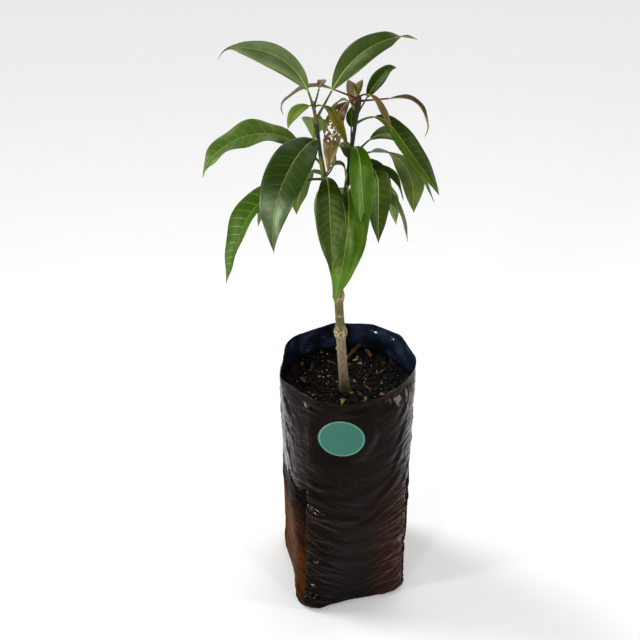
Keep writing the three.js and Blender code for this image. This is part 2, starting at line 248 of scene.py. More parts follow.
def even(x, half):
    """Like hill, for an x that may be negative."""
    return hill(size_of(x), half)


def ramp(x, low, high):
    """0 below low and 1 above high, with a smooth rise between."""
    feeds = {"Value": x, "From Min": low, "From Max": high}
    return step(x.tree, "ShaderNodeMapRange", feeds, "Result", interpolation_type="SMOOTHSTEP")


def combined(x, y, z):
    return step(tree_of(x, y, z), "ShaderNodeCombineXYZ", {"X": x, "Y": y, "Z": z})


def parts_of(vector):
    return step(vector.tree, "ShaderNodeSeparateXYZ", {0: vector}, ("X", "Y", "Z"))


def noise(vector, scale, seed, detail=2.0, roughness=0.5):
    """Seeded noise from 0 to 1 that changes about this many times to the metre."""
    feeds = {"Vector": vector, "W": seed, "Scale": scale, "Detail": detail, "Roughness": roughness}
    return step(vector.tree, "ShaderNodeTexNoise", feeds, noise_dimensions="4D")


def attribute(tree, name, kind="FLOAT"):
    return step(tree, "GeometryNodeInputNamedAttribute", {"Name": name}, data_type=kind)


def random_share(order, seed, low=0.0, high=1.0):
    """A random number between two for each place in an order."""
    feeds = {"Min": low, "Max": high, "ID": order, "Seed": seed}
    return step(order.tree, "FunctionNodeRandomValue", feeds, data_type="FLOAT")


def moved(geometry, **way):
    """A geometry with its points put at a Position or shifted by an Offset."""
    return step(geometry.tree, "GeometryNodeSetPosition", {"Geometry": geometry, **way})


def shaded(geometry, smooth, where=True):
    """A geometry with faces shaded smooth, or flat, where asked."""
    feeds = {"Geometry": geometry, "Selection": where, "Shade Smooth": smooth}
    return step(geometry.tree, "GeometryNodeSetShadeSmooth", feeds)


def dealt(points, piece, spin, size):
    """A turned and sized copy of a piece on each point, as real geometry."""
    feeds = {"Points": points, "Instance": piece, "Rotation": spin, "Scale": size}
    copies = step(points.tree, "GeometryNodeInstanceOnPoints", feeds)
    return step(points.tree, "GeometryNodeRealizeInstances", {"Geometry": copies})


def tubes(given):
    """Round tubes along a tree's lines, as thick as their points say."""
    tree = given["Geometry"].tree
    course = step(tree, "GeometryNodeMeshToCurve", {"Mesh": given["Geometry"]})
    feeds = {"Resolution": given["Sides"], "Radius": 1.0}
    ring = step(tree, "GeometryNodeCurvePrimitiveCircle", feeds)
    feeds = {"Curve": course, "Profile Curve": ring, "Scale": attribute(tree, "thick"),
             "Fill Caps": True}
    return step(tree, "GeometryNodeCurveToMesh", feeds)


def captured(geometry, *values):
    """Fixes values on a geometry, so that they stay while its points move."""
    tree = geometry.tree
    node = tree.nodes.new("GeometryNodeCaptureAttribute")
    tree.links.new(geometry.socket, node.inputs[0])
    for order, value in enumerate(values):
        node.capture_items.new("VECTOR" if is_vector(value) else "FLOAT", f"kept {order}")
        tree.links.new(value.socket, node.inputs[order + 1])
    return [Field(tree, node.outputs[order]) for order in range(len(values) + 1)]


def new_tree(name, inputs):
    """A Geometry Nodes tree with named inputs, and the fields that they give."""
    tree = bpy.data.node_groups.new(name, "GeometryNodeTree")
    tree.interface.new_socket("Geometry", in_out="OUTPUT", socket_type="NodeSocketGeometry")
    for label, kind in {"Geometry": "Geometry", **inputs}.items():
        tree.interface.new_socket(label, in_out="INPUT", socket_type="NodeSocket" + kind)
    source = tree.nodes.new("NodeGroupInput")
    return tree, {s.name: Field(tree, s) for s in source.outputs if s.name}


def end_tree(geometry, coats):
    """Realizes a tree's geometry and gives it its materials, each with where it goes."""
    tree = geometry.tree
    shown = step(tree, "GeometryNodeRealizeInstances", {"Geometry": geometry})
    for material, where in coats:
        feeds = {"Geometry": shown, "Material": material}
        if where is not None:
            feeds["Selection"] = where
        shown = step(tree, "GeometryNodeSetMaterial", feeds)
    output = tree.nodes.new("NodeGroupOutput")
    tree.links.new(shown.socket, output.inputs[0])


def grown(name, base, *stages):
    """Runs trees, each with its values, over a mesh and keeps the result as a plain mesh."""
    piece = bpy.data.objects.new(name, base)
    for stage, values in stages:
        if stage == "REMESH":
            modifier = piece.modifiers.new("remesh", "REMESH")
            modifier.mode = "VOXEL"
            modifier.voxel_size = values
            continue
        modifier = piece.modifiers.new(stage.name, "NODES")
        modifier.node_group = stage
        for item in stage.interface.items_tree:
            if item.in_out == "INPUT" and item.name in values:
                modifier[item.identifier] = values[item.name]
    scene.collection.objects.link(piece)
    seen = piece.evaluated_get(bpy.context.evaluated_depsgraph_get())
    mesh = bpy.data.meshes.new_from_object(seen)
    piece.modifiers.clear()
    piece.data = mesh
    return piece


def joined(name, pieces):
    """Several pieces as one, with their materials kept."""
    with bpy.context.temp_override(active_object=pieces[0], selected_editable_objects=pieces):
        bpy.ops.object.join()
    pieces[0].name = name
    return pieces[0]


def mesh_of(name, points, edges=(), faces=(), values=None):
    """A mesh in metres with values, one or three numbers each, kept on its points."""
    mesh = bpy.data.meshes.new(name)
    mesh.from_pydata(np.asarray(points).tolist(), list(edges), list(faces))
    for label, numbers in (values or {}).items():
        numbers = np.asarray(numbers, np.float32)
        kind = ("FLOAT", "value") if numbers.ndim == 1 else ("FLOAT_VECTOR", "vector")
        mesh.attributes.new(label, kind[0], "POINT").data.foreach_set(kind[1], numbers.ravel())
    return mesh


# ---------------------------------------------------------------- finishes
def colour(code):
    """Linear red, green and blue of a hexadecimal screen colour."""
    shares = [int(code[i:i + 2], 16) / 255 for i in (0, 2, 4)]
    return [s / 12.92 if s <= 0.04045 else ((s + 0.055) / 1.055) ** 2.4 for s in shares]


def new_material(name, roughness, **sockets):
    """A principled material with values on its shader's own sockets."""
    material = bpy.data.materials.new(name)
    material.use_nodes = True
    shader = material.node_tree.nodes["Principled BSDF"]
    for label, value in {"Roughness": roughness, **sockets}.items():
        shader.inputs[label.replace("_", " ")].default_value = value
    return material


def object_place(material):
    """The place on its piece of each point that a material covers."""
    return step(material.node_tree, "ShaderNodeTexCoord", give="Object")


def blended(share, first, second):
    """A colour between two, each a code or the output of an earlier blend."""
    def ready(value):
        return value if isinstance(value, Field) else (*colour(value), 1)
    feeds = {"Factor": share, "A": ready(first), "B": ready(second)}
    return step(share.tree, "ShaderNodeMix", feeds, "Result", data_type="RGBA")


def bump(height, depth, strength=1.0):
    feeds = {"Height": height, "Distance": depth, "Strength": strength}
    return step(height.tree, "ShaderNodeBump", feeds)


def painted(material, base, relief, **patterns):
    """Links a colour, a relief and any other patterns to a material's shader."""
    tree = material.node_tree
    shader = tree.nodes["Principled BSDF"]
    for label, pattern in {"Base Color": base, "Normal": relief, **patterns}.items():
        tree.links.new(pattern.socket, shader.inputs[label])
    return material


def leaf_finish(name, first, second, roughness, gloss=0.17, sheen_blue=0.4):
    """A waxy leaf surface that drifts between two close colours."""
    material = new_material(
        name, roughness, Specular_IOR_Level=gloss, Specular_Tint=(0.85, 1, sheen_blue, 1))
    place = object_place(material)
    drift = ramp(noise(place, 45, 3.1), 0.35, 0.65)
    grain = noise(place, 1400, 7.7)
    return painted(material, blended(drift, first, second), bump(grain, 0.00012, 0.5))


def film_finish():
    """Glossy black polythene, a little brown, with fine creases and a painted brown reflection low
    on its right.
    """
    material = new_material(
        "black_polythene", 0.2, Specular_IOR_Level=0.06, Specular_Tint=(0.7, 0.58, 0.5, 1))
    place = object_place(material)
    x, y, z = parts_of(place)
    worn = ramp(noise(place, 24, 8.5, 3), 0.42, 0.68)
    # A painted brown reflection of a warm floor, low on the bag's right.
    right_floor_reflection = ramp(x, 0.005, 0.055) * (1 - ramp(z, 0.10, 0.24))
    base = blended(right_floor_reflection, blended(worn, "090402", "0e0603"), "2a1207")
    creases = noise(combined(x * 0.4, y * 0.4, z), 110, 5.5) + noise(place, 320, 1.5) * 0.1
    return painted(material, base, bump(creases, 0.0006, 0.35), Roughness=0.07 + worn * 0.12)


def floor_reflection_film_finish():
    """The film low on the bag's sides, nearly without gloss, with a painted brown reflection of a
    warm floor.
    """
    material = new_material(
        "floor_reflection_polythene", 0.34, Specular_IOR_Level=0.002, Specular_Tint=(1, 0.7, 0.5, 1))
    x, y, z = parts_of(object_place(material))
    # The brown is a painted reflection of a warm floor. It fades upwards and towards the back, and
    # is weaker on the right.
    fade = (1 - ramp(z, 0.10, 0.19)) ** 1.5 * (1 - ramp(y, 0.036, 0.064) * 0.7)
    sides = ramp(size_of(x), 0.050, 0.070) * fade
    patches = ramp(noise(combined(x, y, z * 0.4), 40, 2.8, 4), 0.3, 0.7)
    middle = 1 - ramp(size_of(y), 0.02, 0.058)
    streaks = ramp(noise(combined(x * 0.3, y * 0.3, z), 120, 6.5, 3), 0.4, 0.6)
    brown = blended(patches * 0.3 + middle * 0.4 + streaks * 0.3, "180c06", "4c2a10")
    base = blended(sides * (0.45 + over(0.0, x) * 0.55), "0d0806", brown)
    creases = noise(combined(x * 0.5, y * 0.5, z), 130, 5.5)
    return painted(material, base, bump(creases, 0.002, 0.9))


def inside_reflection_finish():
    """The same film from inside, blue-black: a painted reflection over the film's own near-black
    colour.
    """
    material = new_material("inside_film_blue_reflection", 0.14, Specular_IOR_Level=0.6)
    place = object_place(material)
    patches = ramp(noise(place, 40, 3.5), 0.4, 0.65)
    creases = noise(place, 50, 6.5)
    return painted(material, blended(patches, "121822", "28364c"), bump(creases, 0.008))


def sticker_finish():
    """Teal green with a thin paler ring near its edge."""
    material = new_material("green_sticker", 0.35, Specular_IOR_Level=0.3)
    place = object_place(material)
    x, y, z = parts_of(place)
    facing = math.radians(STICKER_TURN)
    aside = y * math.cos(facing) - x * math.sin(facing)
    reach = (aside ** 2 + (z - STICKER_HEIGHT * MM) ** 2) ** 0.5 * (1 / MM)
    ring = even(reach - (STICKER_RADIUS - 1.1), 0.45)
    green = blended(noise(place, 30, 2.2), "14584a", "1b6555")
    base = blended(ring * 0.5, green, "8fc0b0")
    return painted(material, base, bump(noise(place, 900, 4.4), 0.0001, 0.4))


def grain_finish(name, first, second, scale):
    """Small grains and chips, mottled between two colours."""
    material = new_material(name, 0.8, Specular_IOR_Level=0.12)
    place = object_place(material)
    mottle = ramp(noise(place, scale, 9.3, 3), 0.35, 0.65)
    relief = bump(noise(place, scale * 4, 2.7, 3), 0.0004)
    return painted(material, blended(mottle, first, second), relief)


def mix_finish():
    """The damp, nearly black body of the mix."""
    material = new_material("damp_mix", 0.9, Specular_IOR_Level=0.08)
    place = object_place(material)
    patches = ramp(noise(place, 260, 6.1, 4), 0.35, 0.7)
    relief = bump(noise(place, 700, 8.2, 4), 0.0015)
    return painted(material, blended(patches, "030202", "0b0806"), relief)


def bark_finish():
    """Grey-brown bark at the foot, olive green higher up and dark green on the shoots."""
    material = new_material("young_bark", 0.66, Specular_IOR_Level=0.12)
    place = object_place(material)
    x, y, z = parts_of(place)
    streaks = ramp(noise(combined(x * 3, y * 3, z * 0.5), 260, 4.1, 3), 0.3, 0.7)
    # Colours change with the height, in metres, along the trunk and the shoots.
    old = blended(streaks, "706044", "9a8a6c")
    green = blended(streaks, "444212", "605e28")
    shoot = blended(streaks, "1c2610", "2a3618")
    height = z + (noise(place, 60, 1.9) - 0.5) * 0.03
    base = blended(ramp(height, 0.385, 0.402), old, green)
    base = blended(ramp(height, 0.50, 0.56), base, shoot)
    # The left shoot has a yellow stretch and a brown tip, the right one a dark red tip.
    left = over(-0.018, x)
    yellow = left * ramp(z, 0.572, 0.582) * (1 - ramp(z, 0.603, 0.612))
    base = blended(yellow, base, "66702a")
    base = blended(left * ramp(z, 0.642, 0.646), base, "7c5636")
    base = blended((1 - left) * ramp(z, 0.644, 0.65), base, "38201a")
    rings = even(z - 0.390, 0.0075) + even(z - 0.436, 0.006) + even(z - 0.413, 0.0015)
    scar = blended(ramp(noise(place, 330, 5.9), 0.4, 0.6), "4c4826", "b3a376")
    base = blended(lesser(rings, 1), base, scar)
    base = blended((1 - ramp(z, 0.308, 0.335)) * 0.7, base, "1d160e")
    fissures = noise(combined(x * 3, y * 3, z * 0.4), 500, 3.3, 4, 0.65)
    return painted(material, base, bump(fissures, 0.0006))


# ---------------------------------------------------------------- bag, sticker and mix
BAG_HEIGHT = 345
FOOT_HALF = 71
RIM_HALF = 80
FOOT_SQUARENESS = 4
RIM_SQUARENESS = 2
SOIL_TOP = 308
FOLD_TO_FOLD = 126  # film from one upright fold to the next
WAIST_HEIGHT = 150  # where the film is creased all round
# The slack rim falls into straight runs between corners: degrees round the bag, radius.
RIM_CORNERS = [
    (-172, 84), (-150, 78), (-123, 83), (-105, 80), (-82, 78.5), (-45, 75.5), (-21, 79.5),
    (-8, 81.5), (25, 84.5), (53, 82), (88, 80), (129, 80), (142, 79.5),
]
BAG_COLUMNS = 360
STICKER_HEIGHT = 292
STICKER_TURN = -108.5  # degrees round the bag
STICKER_RADIUS = 26.4
STICKER_COLUMNS = 96
FACE_RADIUS = 78.5  # of the bag where the sticker is
HELD_SHARE = 0.85  # how far the sticker flattens the film behind it


def straight_rim(turn):
    """Radius of the rim's straight runs at a turn in radians, in millimetres."""
    corners = [(math.radians(way), radius) for way, radius in RIM_CORNERS]
    corners.append((corners[0][0] + TAU, corners[0][1]))
    turn = (turn - corners[0][0]) % TAU + corners[0][0]
    for (start, near), (end, far) in zip(corners, corners[1:]):
        if start <= turn <= end:
            spread = near * math.sin(turn - start) + far * math.sin(end - turn)
            return near * far * math.sin(end - start) / spread
    return RIM_HALF


def rim_radius(turn):
    """The rim with its bends rounded: wide on the front, tight at the sides and back."""
    front = max(-math.sin(turn), 0)
    bend = math.radians(3 + 12 * front ** 2)
    return sum(straight_rim(turn + bend * k / 3) for k in range(-3, 4)) / 7


# Single tucks of the film, each a ridge under a groove: degrees round the bag, height,
# slope, half length, width and depth.
TUCKS = [
    (-139, 173, -14, 12, 4, 1.7), (-126, 168, -14, 13, 5, 1.9), (-102, 157, -20, 20, 6, 1.7),
    (-74, 157, 36, 18, 4.5, 1.6), (-64, 198, 50, 26, 5, 1.2), (-55, 98, 70, 30, 5, 0.9),
    (-127, 337, 5, 9, 3, 1.0), (-136, 328, -20, 8, 3, 1.1), (-48, 315, 57, 17, 4, 1.4),
    (-51, 277, 63, 15, 4, 1.4), (-54, 244, 71, 20, 4, 1.3), (-165, 312, -45, 12, 4, 1.5),
    (-164, 272, -30, 12, 4, 1.3), (-167, 236, -60, 14, 4, 1.4), (-164, 196, -40, 12, 4, 1.4),
    (-128, 196, -8, 17, 5, 1.3), (-124, 214, -4, 14, 4.5, 1.1), (-131, 258, -70, 22, 9, 1.0),
    (-129, 82, -24, 10, 2.6, 0.8), (-131, 66, -30, 9, 2.4, 0.8), (-128, 50, -32, 10, 2.4, 0.9),
    (-130, 36, -28, 9, 2.2, 0.8), (-129, 22, -30, 8, 2.4, 0.8), (-128, 10, -26, 9, 2.2, 0.6),
    (-40, 150, 30, 14, 4, 1.2), (-42, 205, 48, 16, 4, 1.2), (-46, 60, 24, 14, 3, 0.9),
    (-44, 34, 20, 12, 3, 0.9), (40, 240, 40, 24, 5, 1.4), (110, 200, -30, 26, 5, 1.4),
    (70, 130, 20, 22, 5, 1.2), (150, 160, -35, 20, 4, 1.5), (-5, 180, -25, 22, 5, 1.4),
    (10, 270, 30, 20, 5, 1.4), (-98, 329, 10, 17, 4, 1.1),
]


def tuck_depth(turn, height):
    """How far the single tucks lift the film at turns in radians and heights in metres."""
    total = np.zeros(len(turn))
    for way, level, slope, half, width, depth in TUCKS:
        aside = (turn - math.radians(way) + math.pi) % TAU - math.pi
        aside, above = aside * FACE_RADIUS, height / MM - level
        cos, sin = math.cos(math.radians(slope)), math.sin(math.radians(slope))
        along, across = aside * cos + above * sin, above * cos - aside * sin
        ridge = np.exp(-((across / width) ** 2))
        groove = np.exp(-((across / width - 1.4) ** 2))
        total += depth * np.exp(-((along / half) ** 2)) * (ridge - 0.45 * groove)
    return total * MM


def skin(name, turns, rows):
    """A closed skin round an axis with a pole at each end, for the bag's tree to shape.

    A row holds the share of the radius, how far outside it the row lies, its height, how
    slack the film is there, and how lumpy.
    """
    rim = [rim_radius(turn) for turn in turns]
    columns = len(turns)
    values = [(0, rim[0], rows[0])]
    for row in rows[1:-1]:
        values += [(turn, edge, row) for turn, edge in zip(turns, rim)]
    values.append((0, rim[0], rows[-1]))
    last = len(values) - 1
    faces = [(0, 1 + (c + 1) % columns, 1 + c) for c in range(columns)]
    for r in range(len(rows) - 3):
        first = 1 + r * columns
        for c in range(columns):
            d = (c + 1) % columns
            faces.append((first + c, first + d, first + columns + d, first + columns + c))
    first = last - columns
    faces += [(first + c, first + (c + 1) % columns, last) for c in range(columns)]
    table = np.array([(turn, edge * MM, *row) for turn, edge, row in values])
    labels = ("turn", "rim", "share", "outward", "height", "slack", "lumps")
    values = dict(zip(labels, table.T))
    values["tuck"] = tuck_depth(values["turn"], values["height"])
    return mesh_of(name, np.zeros((len(table), 3)), faces=faces, values=values)


def film_rows():
    """Up the outside of the bag, over its rolled edge and down inside to its floor."""
    foot = [(share, 0, 0, 0, 0) for share in (0, 0.4, 0.8, 0.93)]
    foot += [(1, -0.0016, 0, 0.3, 0), (1, -0.0005, 0.0004, 0.6, 0), (1, 0, 0.0015, 0.8, 0)]
    wall = [(1, 0, z * MM, 1, 0) for z in np.arange(3, 344.3, 1.55)]
    edge = [(1, 0.0003, 0.3439, 1, 0), (1, 0.0004, 0.3443, 1, 0), (1, 0.0002, 0.3448, 1, 0)]
    edge += [(1, -0.0001, 0.3450, 1, 0), (1, -0.0004, 0.3448, 1, 0), (1, -0.0006, 0.3443, 1, 0)]
    inside = [(1, -0.0006, z * MM, 1, 0) for z in np.arange(343, 300, -2)]
    inside += [(1, -0.0024, z * MM, 1, 0) for z in (280, 240, 180, 120, 60)]
    floor = [(1, -0.005, 0.016, 0.5, 0), (0.95, -0.005, 0.003, 0, 0), (0.5, 0, 0.003, 0, 0)]
    return foot + wall + edge + inside + floor + [(0, 0, 0.003, 0, 0)]


def mix_rows():
    """Up the outside of the mix and over its lumpy top to the middle."""
    foot = [(0, 0, 0.0036, 0, 0), (0.5, 0, 0.0036, 0, 0), (0.94, -0.006, 0.0036, 0, 0)]
    wall = [(1, -0.0055, 0.017, 0.5, 0)]
    wall += [(1, -0.0029, z * MM, 1, 0) for z in (60, 120, 180, 240, 280)]
    wall += [(1, -0.0009, z * MM, 1, 0) for z in np.arange(294, 307, 2)]
    top = [(share, -0.001, SOIL_TOP * MM, 1, 1) for share in np.linspace(0.995, 0.02, 60)]
    return foot + wall + top + [(0, 0, SOIL_TOP * MM, 0, 1)]


def apart(turn, degrees):
    """The angle in radians from a place round the bag to a turn, the short way."""
    return (fraction_of((turn - math.radians(degrees)) / TAU + 0.5) - 0.5) * TAU


def bag_radius(cos, sin, height, rim):
    """The bag without its creases: square at the foot, and slumped to the rim's radius."""
    part = height / (BAG_HEIGHT * MM)
    half = part * ((RIM_HALF - FOOT_HALF) * MM) + FOOT_HALF * MM
    power = FOOT_SQUARENESS * (RIM_SQUARENESS / FOOT_SQUARENESS) ** part
    reach = size_of(cos) ** power + size_of(sin) ** power
    radius = half / reach ** (1 / power)
    return radius + (rim - radius) * ramp(height, 0.318, 0.344)


def waist_crease(given, round_bag, hung):
    """A sharp groove round the bag between two soft swellings, open only in places."""
    seed = given["Seed"]
    drift = noise(round_bag, 16, seed + 3, 1) - 0.5
    above = hung - WAIST_HEIGHT * MM - drift * 0.02
    swellings = even(above - 0.010, 0.008) + 0.8 * even(above + 0.010, 0.009)
    groove = reckon("EXPONENT", size_of(above) / -0.003)
    open_share = ramp(noise(round_bag, 21, seed + 4, 1), 0.38, 0.6)
    crease = (swellings * 0.9 - 1.6 * groove) * (open_share * 0.75 + 0.25)
    return given["Crease depth"] * crease


def slack_crinkle(given, cos, ring_x, ring_y, height):
    """Sharp facets of slack film, high on the sides and wherever it buckles."""
    seed = given["Seed"]
    facets = noise(combined(ring_x, ring_y, height * 0.8), 70, seed + 12, 3, 0.55)
    facets = given["Crinkle depth"] * size_of(facets * 2 - 1)
    sides = ramp(size_of(cos), 0.62, 0.92)
    loose = ramp(noise(combined(ring_x, ring_y, height), 19, seed + 13, 1), 0.5, 0.62)
    slackness = sides * ramp(height, 0.15, 0.24) + loose * 0.35
    return facets * slackness * (1 - ramp(height, 0.325, 0.34))


def film_depth(given, cos, sin, fold_way, tied, height, tuck):
    """How far all its wrinkles lift the film. It hangs from its folds, so they rise there."""
    seed = given["Seed"]
    ring_x, ring_y = cos * (RIM_HALF * MM), sin * (RIM_HALF * MM)
    round_bag = combined(ring_x, ring_y, 0.0)
    sag = (cosine(fold_way * (TAU / (FOLD_TO_FOLD * MM))) + 1) * (0.011 - cos * 0.005)
    hung = height - sag

    # Pleats crowd at the folds and low down, and show in patches between them.
    pleat_place = combined(ring_x * 0.22, ring_y * 0.22, hung)
    crests = (1 - size_of(noise(pleat_place, 95, seed) * 2 - 1)) ** 3
    patches = ramp(noise(pleat_place, 26, seed + 5, 1), 0.4, 0.6)
    low = 1 - ramp(height, 0.10, 0.25)
    beside = ramp(size_of(cos), 0.78, 0.92)
    pleats = crests * (tied * (low * 3.4 + 1.0) + (low * 0.14 + 0.06 + beside * 0.5) * patches)

    buckles = noise(combined(ring_x * 0.7, ring_y * 0.7, hung * 1.6), 30, seed + 7, 1) - 0.5
    gathers = noise(combined(ring_x * 2, ring_y * 2, height * 0.6), 60, seed + 9) - 0.5
    gathers = gathers * ramp(height, 0.24, 0.34)
    sharp = ramp(noise(round_bag, 9, seed + 6, 1), 0.4, 0.6)
    fold = hill(fold_way, 0.0012) * (0.25 + 0.5 * sharp) * (1 - ramp(height, 0.31, 0.34))
    wrinkles = given["Wrinkle depth"] * (pleats + buckles * 2.6 + gathers * 1.2 + fold)
    crease = waist_crease(given, round_bag, hung)
    crinkle = slack_crinkle(given, cos, ring_x, ring_y, height)
    return wrinkles + crease + given["Tuck share"] * tuck + crinkle


def bag_tree():
    """Shapes a skin as the bag's film: square foot, round rim, creases and wrinkles."""
    tree, given = new_tree("bag_film", {
        "Wrinkle depth": "Float", "Crease depth": "Float", "Lump height": "Float",
        "Crinkle depth": "Float", "Tuck share": "Float", "Seed": "Float", "Coat": "Material",
        "Inside": "Material", "Sides": "Material",
    })
    turn, rim, share, outward, height, slack, lumps, tuck = (
        attribute(tree, name)
        for name in ("turn", "rim", "share", "outward", "height", "slack", "lumps", "tuck")
    )
    seed = given["Seed"]
    cos, sin = cosine(turn), sine(turn)
    radius = bag_radius(cos, sin, height, rim)

    # How far round the film a point lies from the nearest of the four upright folds.
    quarter = turn / (TAU / 4) + 8
    fold_way = size_of(fraction_of(quarter) - 0.5) * (FOLD_TO_FOLD * MM)
    tied = even(fold_way, 0.030)
    depth = film_depth(given, cos, sin, fold_way, tied, height, tuck)
    front_left = greater(cos * -1, 0) * greater(sin * -1, 0) * 2
    corner = tied * (1 - ramp(height, 0, 0.05)) * (0.003 + 0.0075 * front_left)

    # The stiff sticker holds the film nearly flat behind it.
    aside = apart(turn, STICKER_TURN)
    gap = ((aside * FACE_RADIUS * MM) ** 2 + (height - STICKER_HEIGHT * MM) ** 2) ** 0.5
    held = 1 - ramp(gap, 0.026, 0.045)
    flat = (FACE_RADIUS - 1.1) * MM / greater(cosine(aside), 0.5)
    depth = depth * (1 - held * HELD_SHARE) + (flat - radius) * held * HELD_SHARE
    radius = (radius + outward + (depth + corner) * slack) * share

    # The mix has a mound in the middle, and lumps.
    x, y = radius * cos, radius * sin
    rough = noise(combined(x, y, 0.0), 130, seed, 4, 0.6) - 0.5
    mound = even(radius, 0.03) * 0.6
    level = height + given["Lump height"] * lumps * (rough * 2 + mound)
    shaped = shaded(moved(given["Geometry"], Position=combined(x, y, level)), True)

    # Low on its sides, up to a ragged edge, the film gets the finish with a painted brown floor
    # reflection.
    around = combined(cos * (RIM_HALF * MM), sin * (RIM_HALF * MM), height)
    ragged = noise(around, 60, seed + 15, 3, 0.6) - 0.5
    floor_reflection_zone = over(size_of(cos), 0.735) * over(0.196 + ragged * 0.07, height)
    end_tree(shaped, [
        (given["Coat"], None), (given["Sides"], floor_reflection_zone),
        (given["Inside"], over(-0.0005, outward)),
    ])
    return tree


def one_coat(finish):
    """The same finish wherever the bag's tree puts one."""
    return {"Coat": finish, "Inside": finish, "Sides": finish}


def sticker_skin():
    """A thin disc whose points know where on the bag's face they lie."""
    shares = [0, 0.3, 0.55, 0.75, 0.9, 0.98, 1]
    reaches = np.array(shares + shares[::-1]) * STICKER_RADIUS
    outs = [0.2] * 6 + [0.25, 0.55] + [0.65] * 6
    columns = np.arange(STICKER_COLUMNS) / STICKER_COLUMNS * TAU
    mesh = skin("sticker", columns, [(1, out * MM, 0, 1, 0) for out in outs])
    around = np.concatenate([[0], np.tile(columns, len(reaches) - 2), [0]])
    reach = np.concatenate([[0], np.repeat(reaches[1:-1], STICKER_COLUMNS), [0]])
    height = STICKER_HEIGHT + reach * np.sin(around)
    turn = math.radians(STICKER_TURN) + reach * np.cos(around) / FACE_RADIUS
    rim = np.array([rim_radius(t) for t in turn])
    for label, values in (("turn", turn), ("height", height * MM), ("rim", rim * MM)):
        mesh.attributes[label].data.foreach_set("value", values.astype(np.float32))
    return mesh


def scatter_tree():
    """Strews grains or chips over the top of the mix."""
    tree, given = new_tree("strewn_grains", {
        "Density": "Float", "Smallest": "Float", "Largest": "Float", "Length": "Float",
        "Flatness": "Float", "Roughness": "Float", "Reach": "Float", "Seed": "Int",
        "Coat": "Material",
    })
    normal = step(tree, "GeometryNodeInputNormal")
    place = step(tree, "GeometryNodeInputPosition")
    x, y, height = parts_of(place)
    upright = parts_of(normal)[2]
    inside = over(given["Reach"], (x * x + y * y) ** 0.5)
    where = over(upright, 0.3) * over(height, 0.3) * inside
    feeds = {"Mesh": given["Geometry"], "Selection": where, "Density": given["Density"],
             "Seed": given["Seed"]}
    points = step(tree, "GeometryNodeDistributePointsOnFaces", feeds, "Points")
    order = step(tree, "GeometryNodeInputIndex")
    seed = given["Seed"]
    size = random_share(order, seed + 11)
    size = given["Smallest"] + (given["Largest"] - given["Smallest"]) * size ** 2.5
    long = size * (1 + (given["Length"] - 1) * random_share(order, seed + 12, 0.3))
    scale = combined(long, size, size * given["Flatness"])
    tilt = combined(
        random_share(order, seed + 13, -0.5, 0.5), random_share(order, seed + 14, -0.5, 0.5),
        random_share(order, seed + 15, high=TAU),
    )
    grain = step(tree, "GeometryNodeMeshIcoSphere", {"Radius": 1.0, "Subdivisions": 1}, "Mesh")
    jag = noise(place, 420, 1.7, 1) - 0.5
    offset = normal * (jag * given["Roughness"] * given["Largest"])
    strewn = shaded(moved(dealt(points, grain, tilt, scale), Offset=offset), False)
    end_tree(strewn, [(given["Coat"], None)])
    return tree


# Larger pieces of bark on the mix: x, y, length, width, turn and lift of one end.
RUST_SLIVERS = [
    (28, 64, 23, 4.2, 40, 4), (42, 54, 21, 3.6, -84, 2), (19, 56, 11, 3, 34, 2),
    (22, -13, 16, 1.8, -69, 2), (-50, 18, 15, 5, -81, 4), (-8, 44, 12, 2.4, 150, 3),
    (-34, 40, 14, 2, 65, 2), (48, 14, 9, 2.2, 20, 2), (-20, -44, 12, 2, 12, 2),
]
TAN_SLIVERS = [
    (22, 43, 8, 3, -9, 2), (27, 36, 4.2, 3.6, -13, 0), (10, 1, 22, 1.4, -97, 2),
    (36, -28, 5.5, 4.2, -13, 0), (1, -18, 5.4, 3.6, -49, 1), (-13, -32, 9, 3.2, 64, 3),
    (14, -34, 6.5, 3, 55, 3), (-48, -7, 4.6, 3.4, -49, 0), (-43, -12, 5.6, 3.2, -53, 0),
    (-28, 22, 4.7, 2.2, 26, 0), (-16, 20, 5.6, 1.8, -1, 0), (-15, 70, 3.6, 2.6, 7, 0),
    (-43, 53, 3.4, 2.4, 16, 0), (12, 66, 5, 2.4, 110, 0), (55, 30, 4, 3, 60, 0),
]


def sliver_points(name, rows):
    """Points on the mix with the size, turn and tilt of a piece of bark each."""
    table = np.array(rows, float)
    points = np.column_stack([table[:, :2], np.full(len(rows), SOIL_TOP + 1.4)]) * MM
    points[:, 2] += table[:, 5] * 0.5 * MM
    size = np.column_stack([table[:, 2] / 2, table[:, 3] / 2, table[:, 3] / 5 + 0.5]) * MM
    tilt = -np.arcsin(np.clip(table[:, 5] / table[:, 2], 0, 0.8))
    spin = np.column_stack([np.zeros(len(rows)), tilt, np.radians(table[:, 4])])
    return mesh_of(name, points, values={"size": size, "spin": spin})


def sliver_tree():
    """Lays a split, tapering piece of bark on each point."""
    tree, given = new_tree("bark_slivers", {
        "Roughness": "Float", "Seed": "Float", "Coat": "Material",
    })
    piece = step(tree, "GeometryNodeMeshCube", {
        "Size": (2.0, 2.0, 2.0), "Vertices X": 9, "Vertices Y": 4, "Vertices Z": 3,
    }, "Mesh")
    x, y, z = parts_of(step(tree, "GeometryNodeInputPosition"))
    taper = 1 - size_of(x) ** 3 * 0.6
    piece = moved(piece, Position=combined(x, y * taper, z * taper))
    spin, size = (attribute(tree, name, "FLOAT_VECTOR") for name in ("spin", "size"))
    here = step(tree, "GeometryNodeInputPosition")
    seed = given["Seed"]
    jag = combined(
        noise(here, 170, seed) - 0.5, noise(here, 170, seed + 1) - 0.5,
        noise(here, 240, seed + 2) - 0.5,
    )
    laid = dealt(given["Geometry"], piece, spin, size)
    laid = shaded(moved(laid, Offset=jag * given["Roughness"]), False)
    end_tree(laid, [(given["Coat"], None)])
    return tree


